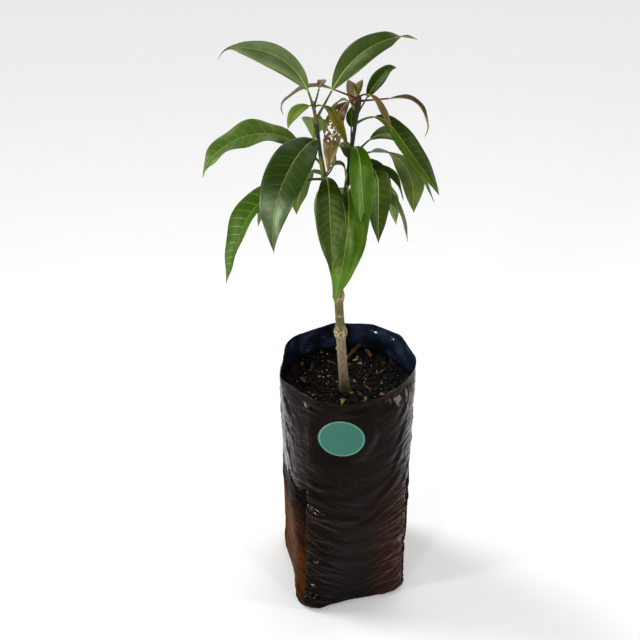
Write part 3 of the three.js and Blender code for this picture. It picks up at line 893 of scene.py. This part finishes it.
# ---------------------------------------------------------------- trunk and boughs
TREE_BASE = 308.3
TRUNK_TOP = 525
TRUNK_PATH = [
    (-2.6, -10, TREE_BASE), (-6, -7, 350), (-8.7, -5, 392),
    (-11.3, 0, 441), (-10.4, 0, 485), (-9.7, 0, TRUNK_TOP),
]
TRUNK_RADIUS_LOW = 5.6
TRUNK_RADIUS_TOP = 4.5
ROOT_FLARE = 2.4
FLARE_HEIGHT = 9
# Swellings: height, how far they stand out and half height. The first two are rings of scars.
TRUNK_NODES = [(390, 2.4, 7), (436, 1.7, 6), (505, 0.8, 7)]
TRUNK_BUDS = [(366, 185, 2.2), (354, -5, 2.0)]  # height, degrees round the trunk and size
# The straight line that each shoot follows, through a low and a high point.
SHOOTS = {
    "left": ((-27, -10, 583), (-37.5, -12, 658)),
    "right": ((-9.7, 0, TRUNK_TOP), (6.5, 4, 668)),
}
# The left shoot bends out of the trunk here, and meets its straight line at two heights.
LEFT_BOUGH_FOOT = (-9.9, 0, 508)
LEFT_BOUGH_MIDDLE = 571
LEFT_BOUGH_END = 666
# Heights and radii up the two shoots, from the fork to their tips.
LEFT_SHOOT_RADII = [
    (508, 3.9), (571, 2.7), (583, 3.1), (605, 2.5), (615, 2.0), (638, 2.0), (643, 2.5),
    (647, 1.8), (660, 1.6), (664, 1.0),
]
RIGHT_SHOOT_RADII = [
    (520, 3.9), (556, 2.7), (600, 2.3), (612, 1.9), (640, 2.0), (648, 2.5), (657, 3.1),
    (663, 2.7), (666, 1.6),
]


def on_shoot(shoot, height):
    """A point of a straight shoot, in millimetres."""
    low, high = (np.array(point, float) for point in SHOOTS[shoot])
    return low + (high - low) * (height - low[2]) / (high[2] - low[2])


def catmull(points, count):
    """A smooth line through points, as the solids' centripetal spline has it."""
    points = np.array(points, float)
    ends = np.vstack([2 * points[0] - points[1], points, 2 * points[-1] - points[-2]])
    line = []
    for place in np.linspace(0, len(points) - 1, count):
        i = min(int(place), len(points) - 2)
        p0, p1, p2, p3 = ends[i:i + 4]
        t = place - i
        gaps = np.linalg.norm(np.diff(ends[i:i + 4], axis=0), axis=1)
        k1, k2, k3 = np.maximum(gaps, 1e-6) ** 0.5
        m1 = (p1 - p0) / k1 - (p2 - p0) / (k1 + k2) + (p2 - p1) / k2
        m2 = (p2 - p1) / k2 - (p3 - p1) / (k2 + k3) + (p3 - p2) / k3
        m1, m2 = m1 * k2, m2 * k2
        a = 2 * (p1 - p2) + m1 + m2
        b = 3 * (p2 - p1) - 2 * m1 - m2
        line.append(a * t ** 3 + b * t ** 2 + m1 * t + p1)
    return np.array(line)


def trunk_radius(height):
    """The trunk's taper with its root flare and its swellings, in millimetres."""
    part = np.clip((height - TREE_BASE) / (TRUNK_TOP - TREE_BASE), 0, 1)
    radius = TRUNK_RADIUS_LOW + (TRUNK_RADIUS_TOP - TRUNK_RADIUS_LOW) * part
    radius = radius + ROOT_FLARE * np.exp(-np.maximum(height - TREE_BASE, 0) / FLARE_HEIGHT)
    for at, extra, half in TRUNK_NODES:
        radius = radius + extra * np.exp(-(((height - at) / half) ** 2))
    return radius


def courses(name, lines):
    """A mesh of lines, each with points in millimetres and values on its points."""
    points, edges, values, start = [], [], {}, 0
    for line, numbers in lines:
        points.append(turned(line))
        edges += [(start + i, start + i + 1) for i in range(len(line) - 1)]
        start += len(line)
        for label, column in numbers.items():
            values.setdefault(label, []).append(column)
    values = {label: np.concatenate(columns) for label, columns in values.items()}
    return mesh_of(name, np.vstack(points), edges=edges, values=values)


def wood_courses():
    """The middle lines of the trunk, the two shoots and the buds, each with its radii."""
    trunk = catmull(TRUNK_PATH, 120)
    trunk = np.vstack([trunk[0] - (0, 0, 2.0), trunk])
    lines = [(trunk, {"thick": trunk_radius(trunk[:, 2]) * MM})]
    for shoot, radii in (("left", LEFT_SHOOT_RADII), ("right", RIGHT_SHOOT_RADII)):
        heights = np.arange(radii[0][0], radii[-1][0] + 0.1, 1.0)
        line = np.array([on_shoot(shoot, h) for h in heights])
        if shoot == "left":
            middle, end = (on_shoot(shoot, h) for h in (LEFT_BOUGH_MIDDLE, LEFT_BOUGH_END))
            line = catmull([LEFT_BOUGH_FOOT, middle, end], len(heights))
        thick = np.interp(line[:, 2], [h for h, _ in radii], [r for _, r in radii])
        lines.append((line, {"thick": thick * MM}))
    for height, way, size in TRUNK_BUDS:
        centre = np.array([np.interp(height, trunk[:, 2], trunk[:, k]) for k in range(3)])
        angle = math.radians(way)
        out = np.array([math.cos(angle), math.sin(angle), 0.35])
        reach = trunk_radius(height)
        line = np.array([centre + out * (reach + k * size) for k in (-0.8, 0, 0.5, 0.9)])
        lines.append((line, {"thick": np.array([1, 0.9, 0.6, 0.1]) * size * MM}))
    return courses("wood_courses", lines)


def limb_tree():
    """Round limbs along lines, to be melted into one."""
    tree, given = new_tree("round_limbs", {"Sides": "Int"})
    end_tree(tubes(given), [])
    return tree


def bark_tree():
    """Raises bark on a limb: lengthwise ridges, and crumpled scars round its swollen rings."""
    tree, given = new_tree("bark_relief", {
        "Ridge depth": "Float", "Scar depth": "Float", "Seed": "Float", "Bark": "Material",
    })
    place = step(tree, "GeometryNodeInputPosition")
    normal = step(tree, "GeometryNodeInputNormal")
    x, y, z = parts_of(place)
    seed = given["Seed"]
    ridges = noise(combined(x, y, z * 0.22), 420, seed, 3, 0.6) - 0.5
    rings = sum(even(z - at * MM, half * 0.95 * MM) for at, _, half in TRUNK_NODES[:2])
    lumps = noise(combined(x, y, z * 1.6), 400, seed + 5) - 0.5
    bands = sine(z * (TAU / 0.0031) + noise(place, 160, seed + 2) * 9)
    scars = lumps * 2.6 + bands * 0.32
    lift = given["Ridge depth"] * ridges * 2 + given["Scar depth"] * scars * lesser(rings, 1)
    raised = shaded(moved(given["Geometry"], Offset=normal * lift), True)
    end_tree(raised, [(given["Bark"], None)])
    return tree


# ---------------------------------------------------------------- leaves
CURL_FROM = 0.8
SWING_FROM = 0.1
TIP_TURNS = (0.7, 0.92)  # where along a blade its tip starts and ends to turn over
FOOT_POWER = 3.2
FOOT_ROUNDING = 0.9
TIP_POWER = 2.6
PETIOLE_ROOT = 1.6
PETIOLE_TIP = 1.0
COURSE_STEPS = 240
BLADE_STEPS = 100
SAME_POINT = 0.0000005  # points nearer than this, in metres, are one
ROWS_PER_VEIN = 4
COLUMN_CROWDING = 1.35  # above 1, a blade's columns crowd towards its midrib

# Where a leaf leaves its shoot, the way it points, how it climbs, its stalk, length and
# width, its droop and where that starts and ends, its swing, roll, twist, fold and curl, how
# its tip tapers, its tint and second tint, the pairs of its side veins, its wave (depth, count
# and phase), and how far its tip turns over. Sizes are millimetres and angles degrees.
Leaf = namedtuple("Leaf", "height way climb stalk length width droop start end swing roll "
                          "twist fold curl taper tint second veins wave waves phase tip",
                  defaults=(0,))
LEAVES = {
    "left_lower_leaves": ("left", [
        Leaf(598, 190, 50, 30, 123, 31, 100, 0, 1, 0, -25, 0, 14, 25, 1.2,
             "soft", "", 14, 2.6, 3, 0.1),
        Leaf(627, 245, 20, 7, 144, 41, 113, -0.14, 1, -24, -21, 0, 12, 0, 1.3,
             "glossy", "", 15, 0.9, 3, 0.4),
        Leaf(583, 197, 17, 36, 136, 38, 90, -0.15, 0.8, 0, -12, 0, 22, 0, 1.2,
             "mid", "", 15, 0.8, 3, 0),
        Leaf(584, 278, 35, 10, 107, 31, 105, 0, 0.35, 0, 0, 0, 12, 0, 1.2,
             "dark", "", 14, 0.6, 3, 0.7),
        Leaf(584, 8, 52, 14, 21, 16, -35, 0.2, 0.6, 25, 0, 0, 12, 0, 1.2, "deep", "", 7, 0.3, 2, 0),
        Leaf(587, 8, 52, 12, 34, 14, 135, 0.2, 0.7, 0, 0, 0, 12, 0, 1.2, "grey", "", 8, 0.3, 2, 0),
        Leaf(588, 150, 15, 26, 104, 36, 85, -0.2, 0.8, 0, 0, 0, 10, 0, 1.2,
             "deep", "", 13, 0.8, 3, 0.2),
        Leaf(576, 88, -5, 18, 96, 28, 80, -0.2, 0.6, 0, 0, 0, 10, 0, 1.2,
             "deep", "", 12, 0.7, 3, 0.5),
        Leaf(590, 126, 10, 18, 76, 30, 85, -0.2, 0.7, 0, 0, 0, 10, 0, 1.2,
             "mid", "", 11, 0.7, 3, 0.8),
    ]),
    "left_upper_leaves": ("left", [
        Leaf(645, 170, 78, 31, 109, 26, 76, 0.05, 0.82, 0, -92, 0, 20, 66, 1.9,
             "faded", "", 13, 0.6, 2, 0, -62),
        Leaf(647, 10, 61, 32, 102, 28, 56, 0.2, 1, 0, 36, 0, 8, 26, 1.4,
             "top", "", 13, 0.6, 2, 0.3, -84),
        Leaf(646, 108, 0, 8, 38, 22, 85, 0, 0.8, -60, 0, 0, 15, 0, 1.2,
             "olive", "", 9, 0.4, 2, 0),
        Leaf(648, 60, -10, 8, 22, 10, 70, 0, 0.8, 0, 0, 0, 12, 0, 1.2, "deep", "", 6, 0.2, 2, 0),
        Leaf(662, 205, 0, 4, 33, 14, 70, 0, 1, 0, -20, 0, 16, 0, 1.2, "pale", "", 8, 0.3, 2, 0.5),
        Leaf(660, 314, 38, 12, 50, 13, 84, -0.05, 0.5, -4, 0, 0, 25, 0, 1.2,
             "gold", "grey", 10, 0.3, 2, 0),
        Leaf(660, 52, 62, 18, 19, 9, 67, 0.4, 0.8, 28, 0, 0, 15, 0, 1.2,
             "rose", "", 6, 0.2, 2, 0),
    ]),
    "right_lower_leaves": ("right", [
        Leaf(571, 274, 10, 14, 126, 44, 86, 0, 0.4, -68, 0, 0, 10, 0, 0.9,
             "lit", "", 14, 0.9, 3, 0.3),
        Leaf(606, 283, 54, 14, 102, 27, 132, 0.02, 0.43, 22, 0, 0, 10, -10, 1.0,
             "bright", "", 13, 0.5, 3, 0),
        Leaf(590, 318, 45, 15, 104, 29, 132, 0.02, 0.5, -8, 16, 0, 10, 0, 1.2,
             "dark", "", 13, 0.7, 3, 0.6),
        Leaf(588, 350, 15, 22, 55, 20, 85, 0.1, 0.9, 0, 0, 0, 12, 0, 1.2, "deep", "", 9, 0.5, 2, 0),
        Leaf(576, 349, -12, 20, 82, 20, 65, 0.1, 0.9, 0, 0, 0, 12, 0, 1.2,
             "grey", "", 12, 0.6, 2, 0.4),
        Leaf(600, 28, 15, 24, 114, 36, 99, -0.1, 0.9, 0, 0, -50, 8, 0, 1.1,
             "grey", "", 14, 0.7, 3, 0),
        Leaf(598, 15, 48, 28, 124, 37, 110, 0.08, 0.54, 0, 15, 0, 10, 0, 1.1,
             "deep", "", 14, 0.7, 3, 0.5),
        Leaf(604, 90, 80, 27, 23, 11, 40, 0.3, 0.9, 0, 0, 0, 12, 0, 1.2, "deep", "", 6, 0.2, 2, 0),
        Leaf(582, 95, 80, 18, 27, 16, 150, 0.45, 1, 65, 0, 0, 12, 0, 1.2, "grey", "", 7, 0.2, 2, 0),
        Leaf(562, 82, 5, 16, 106, 34, 80, -0.2, 0.7, 0, 0, 0, 10, 0, 1.2,
             "deep", "", 13, 0.8, 3, 0.1),
        Leaf(570, 56, 10, 20, 100, 30, 85, -0.1, 0.7, 0, 0, 0, 10, 0, 1.2,
             "mid", "", 13, 0.7, 3, 0.6),
        Leaf(580, 38, 5, 26, 92, 30, 75, -0.1, 0.7, 0, 0, 0, 10, 0, 1.2,
             "deep", "", 12, 0.6, 3, 0.9),
    ]),
    "right_upper_leaves": ("right", [
        Leaf(645, 20, 58, 20, 43, 17, 15, 0.3, 0.9, 0, 22, 0, 12, 60, 0.9,
             "dark", "", 10, 0.3, 2, 0),
        # Its second, lit tint paints light on one half of its fold.
        Leaf(637, 348, 33, 20, 108, 30, 85, 0.03, 0.36, 0, 24, 0, 16, 8, 1.1,
             "dark", "lit", 14, 0.4, 3, 0),
        Leaf(653, 152, 38, 13, 38, 16, 125, 0, 0.75, 0, 0, 0, 12, 0, 1.2,
             "bright", "", 8, 0.3, 2, 0),
    ]),
    "right_bronze_leaves": ("right", [
        Leaf(662, 172, 19, 26, 70, 12, 59, 0.2, 0.8, 0, 0, 0, 20, 75, 1.2,
             "rose", "", 12, 0.4, 3, 0),
        Leaf(660, 352, 8, 30, 66, 13, 76, 0.35, 0.8, 0, 0, 0, 20, 45, 1.2,
             "bronze", "", 12, 0.4, 3, 0.3),
        Leaf(664, 322, 45, 12, 46, 11, 98, -0.05, 0.5, 0, 0, 0, 25, 10, 1.2,
             "tawny", "", 10, 0.3, 2, 0),
        Leaf(661, 100, 72, 4, 50, 18, 165, 0, 0.7, 0, 0, 0, 30, 0, 1.2,
             "umber", "", 10, 0.3, 2, 0.4),
        Leaf(662, 231, 13, 15, 77, 23, 90, 0, 0.6, 0, 0, 0, 10, 0, 1.2,
             "sepia", "bronze", 26, 0.6, 3, 0.2),
    ]),
}
CHEWED = ("right_bronze_leaves", 4)


def smooth(low, high, x):
    """0 below low and 1 above high, with a smooth rise between, as ramp has it in a tree."""
    share = np.clip((x - low) / (high - low), 0, 1)
    return share * share * (3 - 2 * share)


def outline(part, taper):
    """Half width of a mango leaf along its blade, as a share of its widest half."""
    foot = (1 - (1 - part) ** FOOT_POWER) ** FOOT_ROUNDING
    tip = np.maximum(1 - part ** TIP_POWER, 0) ** taper
    return foot * tip / (0.735 + 0.08 * (1.25 - taper))


def leaf_frame(leaf, part):
    """Unit vectors along, left and up of a leaf at parts of its whole length."""
    bend = leaf.droop * smooth(leaf.start, leaf.end, part) + leaf.curl * smooth(CURL_FROM, 1, part)
    rise = np.radians(leaf.climb - bend)
    way = np.radians(leaf.way + leaf.swing * smooth(SWING_FROM, 1, part))
    along = np.stack([np.cos(rise) * np.cos(way), np.cos(rise) * np.sin(way), np.sin(rise)], 1)
    level = np.stack([-np.sin(way), np.cos(way), 0 * way], 1)
    upright = np.cross(along, level)
    total = leaf.stalk + leaf.length
    blade = np.maximum((part * total - leaf.stalk) / leaf.length, 0)
    turned_tip = leaf.tip * smooth(*TIP_TURNS, blade)
    roll = np.radians(leaf.roll + leaf.twist * blade + turned_tip)[:, None]
    left = level * np.cos(roll) + upright * np.sin(roll)
    up = upright * np.cos(roll) - level * np.sin(roll)
    return along, left, up, blade


def leaf_course(leaf, shoot):
    """The middle line of a leaf from its shoot to its tip: parts of its length and points."""
    parts = np.linspace(0, 1, COURSE_STEPS + 1)
    along = leaf_frame(leaf, (parts[1:] + parts[:-1]) / 2)[0]
    total = leaf.stalk + leaf.length
    points = np.vstack([np.zeros(3), np.cumsum(along, 0) * total / COURSE_STEPS])
    return parts, points + on_shoot(shoot, leaf.height)


def blade_course(leaf, shoot):
    """The line that a blade grows round, with its half width and the ways it faces."""
    parts, points = leaf_course(leaf, shoot)
    total = leaf.stalk + leaf.length
    at = np.linspace(leaf.stalk / total, 1, BLADE_STEPS)
    line = np.stack([np.interp(at, parts, points[:, k]) for k in range(3)], 1)
    _, left, up, blade = leaf_frame(leaf, at)
    half = leaf.width / 2 * outline(np.clip(blade, 0, 1), leaf.taper)
    return courses("blade_course", [(line, {
        "left": turned(left) / MM, "up": turned(up) / MM, "half": half * MM,
    })])


def stalk_line(leaf, shoot):
    """The stalk and midrib: swollen at its root, thin at the blade's tip."""
    parts, points = leaf_course(leaf, shoot)
    share = leaf.stalk / (leaf.stalk + leaf.length)
    size = min(max(leaf.length / 100, 0.55), 1) ** 0.5
    blade = np.clip((parts - share) / (1 - share), 0, 1)
    radii = [PETIOLE_ROOT * 1.15, PETIOLE_ROOT * 0.85, PETIOLE_TIP]
    stalk = np.interp(parts, [0, share * 0.25, share], radii)
    rib = PETIOLE_TIP * (0.85 - 0.55 * blade)
    thick = np.where(parts < share, stalk, np.minimum(rib, stalk)) * size
    return points, {"thick": thick * MM, "blade": blade}


def bites(given, point, order, place, share, outward, right):
    """Where insects have eaten: between the veins, and most in the middle of the blade."""
    middle = even(share - 0.45, 0.17)
    spared = random_share(order * 2 + right, given["Seed"])
    rib = over(1.0, place) * over(spared, 0.35) * over(0.8, outward)
    holes = over(noise(point, 300, 1.3, 1) + middle * 0.27, 0.75)
    return given["Eaten"] * holes * (1 - rib) * over(outward, 0.04)


def thickened(sheet, thickness):
    """A sheet as a closed skin, and where that has its upper side and its edges."""
    tree = sheet.tree
    feeds = {"Mesh": sheet, "Offset Scale": thickness, "Individual": False}
    upper, top, side = step(tree, "GeometryNodeExtrudeMesh", feeds, ("Mesh", "Top", "Side"))
    lower = step(tree, "GeometryNodeFlipFaces", {"Mesh": sheet})
    whole = tree.nodes.new("GeometryNodeJoinGeometry")
    for layer in (lower, upper):
        tree.links.new(layer.socket, whole.inputs[0])
    feeds = {"Geometry": Field(tree, whole.outputs[0]), "Distance": SAME_POINT}
    closed = step(tree, "GeometryNodeMergeByDistance", feeds)
    return shaded(shaded(closed, True), False, side), top, side


def leaf_tree():
    """A mango blade round its middle line: two folded, wavy halves with side veins."""
    tree, given = new_tree("mango_blade", {
        "Vein pairs": "Int", "Half columns": "Int", "Thickness": "Float", "Fold": "Float",
        "Arch": "Float", "Vein slant": "Float", "Vein width": "Float", "Puff": "Float",
        "Wave depth": "Float", "Waves": "Float", "Wave phase": "Float", "Eaten": "Float",
        "Seed": "Int", "Second half": "Float", "Second reach": "Float",
        "Upper side": "Material", "Second side": "Material", "Underside": "Material",
        "Veins": "Material",
    })
    course = step(tree, "GeometryNodeMeshToCurve", {"Mesh": given["Geometry"]})
    pairs = given["Vein pairs"]
    rows = pairs * ROWS_PER_VEIN + 1
    feeds = {"Size X": 2.0, "Size Y": 1.0, "Vertices X": given["Half columns"] * 2 + 1,
             "Vertices Y": rows}
    sheet = step(tree, "GeometryNodeMeshGrid", feeds, "Mesh")
    x, y, _ = parts_of(step(tree, "GeometryNodeInputPosition"))
    sheet, column, row = captured(sheet, -x, (y + 0.5) * (rows - 1))

    # Rows lie in pairs along the veins, which slant towards the tip as they run outwards.
    outward = size_of(column) ** COLUMN_CROWDING
    across = outward * reckon("SIGN", column)
    order = floor_of(row / ROWS_PER_VEIN + 0.001)
    place = row - order * ROWS_PER_VEIN
    between = over(place, 0.5)
    strip = given["Vein width"] * (1 - outward * 0.7)
    third = (place - 1) / (ROWS_PER_VEIN - 1)
    flat = (order + between * (strip + (1 - strip) * third)) / pairs
    body = ramp(flat, 0.0, 0.3) * (1 - ramp(flat, 0.6, 1.0))
    right = over(-0.001, across)
    lean = given["Vein slant"] * (outward * 0.75 + outward ** 3 * 0.25)
    share = lesser(greater(flat + body * (lean + right * 0.5 / pairs), 0.0), 1.0)

    def sampled(name, kind):
        feeds = {"Curves": course, "Value": attribute(tree, name, kind), "Factor": share}
        return step(tree, "GeometryNodeSampleCurve", feeds, "Value", mode="FACTOR",
                    data_type=kind, use_all_curves=False)

    # Both halves fold up from the midrib, arch, wave at the margin and swell between veins.
    feeds = {"Curves": course, "Factor": share}
    centre = step(tree, "GeometryNodeSampleCurve", feeds, "Position", mode="FACTOR",
                  use_all_curves=False)
    left, up = sampled("left", "FLOAT_VECTOR"), sampled("up", "FLOAT_VECTOR")
    half = sampled("half", "FLOAT")
    fold = given["Fold"]
    reach = half * cosine(fold) * across
    lift = half * (outward * sine(fold) + given["Arch"] * outward * (1 - outward) * 4)
    swing = sine((share * given["Waves"] + given["Wave phase"] + across * 0.17) * TAU)
    ends = ramp(share, 0.05, 0.3) * (1 - ramp(share, 0.8, 1.0))
    flutter = given["Wave depth"] * outward ** 2 * swing * ends
    swell = given["Puff"] * half * between * sine(third * math.pi) * (1 - outward ** 2) * ends
    point = centre + left * reach + up * (lift + flutter + swell - given["Thickness"] * 0.5)
    sheet = moved(sheet, Position=point)

    gone = bites(given, point, order, place, share, outward, right)
    sheet = step(tree, "GeometryNodeDeleteGeometry", {"Geometry": sheet, "Selection": gone},
                 domain="FACE")
    closed, top, side = thickened(sheet, given["Thickness"])
    vein = top * over(1.0, place) * over(0.94, outward)
    # The second colour covers one half of a blade, or reaches up it from the stalk. A lit second
    # half is painted light on the half of a folded blade that faces the light.
    second = over(given["Second half"] * (-0.001 - across) + given["Second reach"] - share, 0)
    end_tree(closed, [
        (given["Underside"], None), (given["Upper side"], top + side),
        (given["Second side"], (top + side) * second), (given["Veins"], vein),
    ])
    return tree


def stalk_tree():
    """Leaf stalks that run on as midribs under and over their blades."""
    tree, given = new_tree("stalks_and_midribs", {
        "Sides": "Int", "Stalk": "Material", "Midrib": "Material",
    })
    rib = over(attribute(tree, "blade"), 0.0)
    end_tree(shaded(tubes(given), True), [(given["Stalk"], None), (given["Midrib"], rib)])
    return tree


# ---------------------------------------------------------------- the whole
FLOOR_HALF = 6  # metres

make_camera()
for light in LIGHTS:
    add_light(*light)
for light in GLOSS_LIGHTS:
    add_light(*light, gloss_only=True)
make_world()
scene.view_settings.view_transform = "Standard"

corners = [(x * FLOOR_HALF, y * FLOOR_HALF, 0) for x, y in ((-1, -1), (1, -1), (1, 1), (-1, 1))]
floor_mesh = mesh_of("floor", corners, faces=[(0, 1, 2, 3)])
floor = bpy.data.objects.new("floor", floor_mesh)
scene.collection.objects.link(floor)
floor_mesh.materials.append(new_material("pale_floor", 0.7, Base_Color=(0.9, 0.9, 0.9, 1)))

bag_skin = bag_tree()
bag_values = {
    "Wrinkle depth": 0.0011, "Crease depth": 0.0008, "Crinkle depth": 0.0030,
    "Tuck share": 1.0, "Lump height": 0.0, "Seed": 4.0,
}
columns = np.arange(BAG_COLUMNS) / BAG_COLUMNS * TAU
bag = grown("bag_of_film", skin("bag", columns, film_rows()), (bag_skin, {
    **bag_values, "Coat": film_finish(), "Inside": inside_reflection_finish(),
    "Sides": floor_reflection_film_finish(),
}))
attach(bag, "root")
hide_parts("grow_bag")

sticker = grown("sticker_disc", sticker_skin(), (bag_skin, {
    **bag_values, **one_coat(sticker_finish()),
}))
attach(sticker, "root")
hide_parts("round_sticker")

mix = grown("mix_body", skin("mix", columns[::2], mix_rows()), (bag_skin, {
    **bag_values, "Lump height": 0.0032, **one_coat(mix_finish()),
}))
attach(mix, "root")
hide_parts("potting_mix")

STREWN_REACH = 0.0755  # metres from the middle, to just inside the film
strewn = scatter_tree()
crumb_coat = grain_finish("bark_crumb", "030202", "0e0a07", 300)
perlite_coat = grain_finish("perlite", "b9b29e", "e2ddcd", 900)
dark_coat = grain_finish("dark_bark_chip", "1c120b", "3a2718", 500)
tan_coat = grain_finish("tan_bark_chip", "7a5630", "a8824c", 500)
rust_coat = grain_finish("rust_bark_chip", "42270f", "74492a", 500)
# Name, grains to a square metre, smallest and largest half size in metres, length and
# flatness against their width, roughness, seed and finish.
STREWN = [
    ("mix_crumbs", 110000.0, 0.0007, 0.0040, 1.8, 0.7, 0.6, 1, crumb_coat),
    ("perlite_grains", 24000.0, 0.00025, 0.0012, 1.1, 0.9, 0.3, 5, perlite_coat),
    ("dark_chips", 6000.0, 0.0006, 0.0030, 3.0, 0.4, 0.5, 21, dark_coat),
    ("tan_chips", 2200.0, 0.0005, 0.0021, 2.0, 0.5, 0.4, 9, tan_coat),
    ("rust_chips", 2000.0, 0.0006, 0.0020, 3.6, 0.4, 0.4, 14, rust_coat),
]
for name, density, smallest, largest, length, flatness, rough, seed, coat in STREWN:
    piece = grown(name, mix.data.copy(), (strewn, {
        "Density": density, "Smallest": smallest, "Largest": largest, "Length": length,
        "Flatness": flatness, "Roughness": rough, "Reach": STREWN_REACH, "Seed": seed, "Coat": coat,
    }))
    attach(piece, "root")

slivers = sliver_tree()
for name, rows, seed, coat in (
    ("rust_slivers", RUST_SLIVERS, 3.0, rust_coat), ("tan_slivers", TAN_SLIVERS, 8.0, tan_coat),
):
    piece = grown(name, sliver_points(name, rows), (slivers, {
        "Roughness": 0.004, "Seed": seed, "Coat": coat,
    }))
    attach(piece, "root")

WOOD_GRID = 0.0006  # metres, the cell that melts the limbs into one
wood = grown(
    "trunk_and_shoots", wood_courses(), (limb_tree(), {"Sides": 24}), ("REMESH", WOOD_GRID),
    (bark_tree(), {
        "Ridge depth": 0.00025, "Scar depth": 0.0011, "Seed": 2.0, "Bark": bark_finish(),
    }),
)
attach(wood, "root")
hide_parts("trunk", "left_bough", "right_bough")

# Two close colours, roughness, and where they differ the gloss and the blue of its sheen.
# Besides the leaves' own colours, these tints hold painted light and shade: lighter and greyer
# tints for blades that face the light or show a sheen, darker ones for blades in shade.
TINTS = {
    "glossy": leaf_finish("glossy_dark_blade", "1f3304", "283f07", 0.38, 0.25, 0.7),
    "dark": leaf_finish("dark_green_blade", "1e3102", "273d05", 0.34, 0.13),
    "deep": leaf_finish("deep_green_blade", "273e05", "304a0a", 0.34),
    "top": leaf_finish("topmost_blade", "324418", "3d5024", 0.34, 0.15),
    # A greyish painted sheen on the topmost blade.
    "faded": leaf_finish("grey_sheen_topmost_blade", "465430", "586842", 0.36),
    "lit": leaf_finish("lit_green_blade", "385609", "44640f", 0.38, 0.08),
    "mid": leaf_finish("mid_green_blade", "314e0d", "3c5c13", 0.38, 0.05),
    "soft": leaf_finish("soft_green_blade", "465f22", "526b2c", 0.38, 0.15),
    "bright": leaf_finish("bright_green_blade", "305202", "3c6303", 0.36, 0.09),
    "grey": leaf_finish("grey_green_blade", "3c4a22", "4b5a2a", 0.42),
    "olive": leaf_finish("olive_blade", "4a5e12", "5a6e1a", 0.4),
    "pale": leaf_finish("pale_young_blade", "5c7022", "6c8030", 0.4),
    "umber": leaf_finish("umber_young_blade", "5c4418", "6d5422", 0.36),
    "sepia": leaf_finish("chewed_young_blade", "4e3616", "604622", 0.36),
    "gold": leaf_finish("golden_young_blade", "5c5016", "70641e", 0.36),
    "tawny": leaf_finish("tawny_young_blade", "6a5430", "7c6640", 0.4),
    "rose": leaf_finish("rosy_young_blade", "5c4436", "6c5242", 0.38),
    "bronze": leaf_finish("bronze_young_blade", "3a1c16", "502c22", 0.32),
}
# How far up the blade a second tint reaches from the stalk.
SECOND_REACH = {"grey": 0.22, "bronze": 0.3}
underside = leaf_finish("leaf_underside", "56682c", "667a36", 0.5)
bronze_underside = leaf_finish("bronze_underside", "6e5a40", "836c50", 0.5)
side_vein = leaf_finish("side_vein", "40590f", "4a6516", 0.4)
pale_vein = leaf_finish("pale_vein", "6c8c30", "78983c", 0.4)
bronze_vein = leaf_finish("bronze_vein", "66503a", "745c40", 0.45)
VEINS = {"mid": pale_vein, "soft": pale_vein}
midrib = leaf_finish("midrib", "86963a", "96a444", 0.45)
stalk = leaf_finish("leaf_stalk", "3a4a16", "526020", 0.45)
bronze_stalk = leaf_finish("bronze_stalk", "4a2014", "5c2c1c", 0.45)

YOUNG_TINTS = ("umber", "bronze", "rose", "tawny")
BLADE_COLUMNS = 9
CHEWED_COLUMNS = 22  # more of them, for the edges of its holes


def blade_values(leaf, order, eaten):
    """What the blades' tree is given for one leaf of a whorl."""
    young = leaf.tint in YOUNG_TINTS
    return {
        "Vein pairs": leaf.veins, "Half columns": CHEWED_COLUMNS if eaten else BLADE_COLUMNS,
        "Thickness": 0.00045, "Fold": math.radians(leaf.fold), "Arch": 0.05, "Puff": 0.012,
        "Vein slant": leaf.width / 2 / leaf.length * 0.6, "Vein width": 0.075,
        "Wave depth": leaf.wave * MM, "Waves": float(leaf.waves),
        "Wave phase": float(leaf.phase), "Eaten": float(eaten), "Seed": 20 + order,
        "Upper side": TINTS[leaf.tint], "Second side": TINTS[leaf.second or leaf.tint],
        # A lit second tint covers one half: painted light on a folded blade.
        "Second half": 1000.0 if leaf.second == "lit" else 0.0,
        "Second reach": SECOND_REACH.get(leaf.second, 0.0),
        "Underside": bronze_underside if young else underside,
        "Veins": bronze_vein if young else VEINS.get(leaf.tint, side_vein),
    }


blades = leaf_tree()
stalks = stalk_tree()
for mass, (shoot, leaves) in LEAVES.items():
    made = []
    for order, leaf in enumerate(leaves):
        values = blade_values(leaf, order, (mass, order) == CHEWED)
        made.append(grown(f"{mass}_{order}", blade_course(leaf, shoot), (blades, values)))
    blade_piece = joined(mass + "_blades", made)
    lines = [stalk_line(leaf, shoot) for leaf in leaves]
    stalk_piece = grown(mass + "_stalks", courses(mass + "_stalks", lines), (stalks, {
        "Sides": 8, "Stalk": bronze_stalk if mass == "right_bronze_leaves" else stalk,
        "Midrib": midrib,
    }))
    for piece in (blade_piece, stalk_piece):
        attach(piece, "root")
        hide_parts(mass)
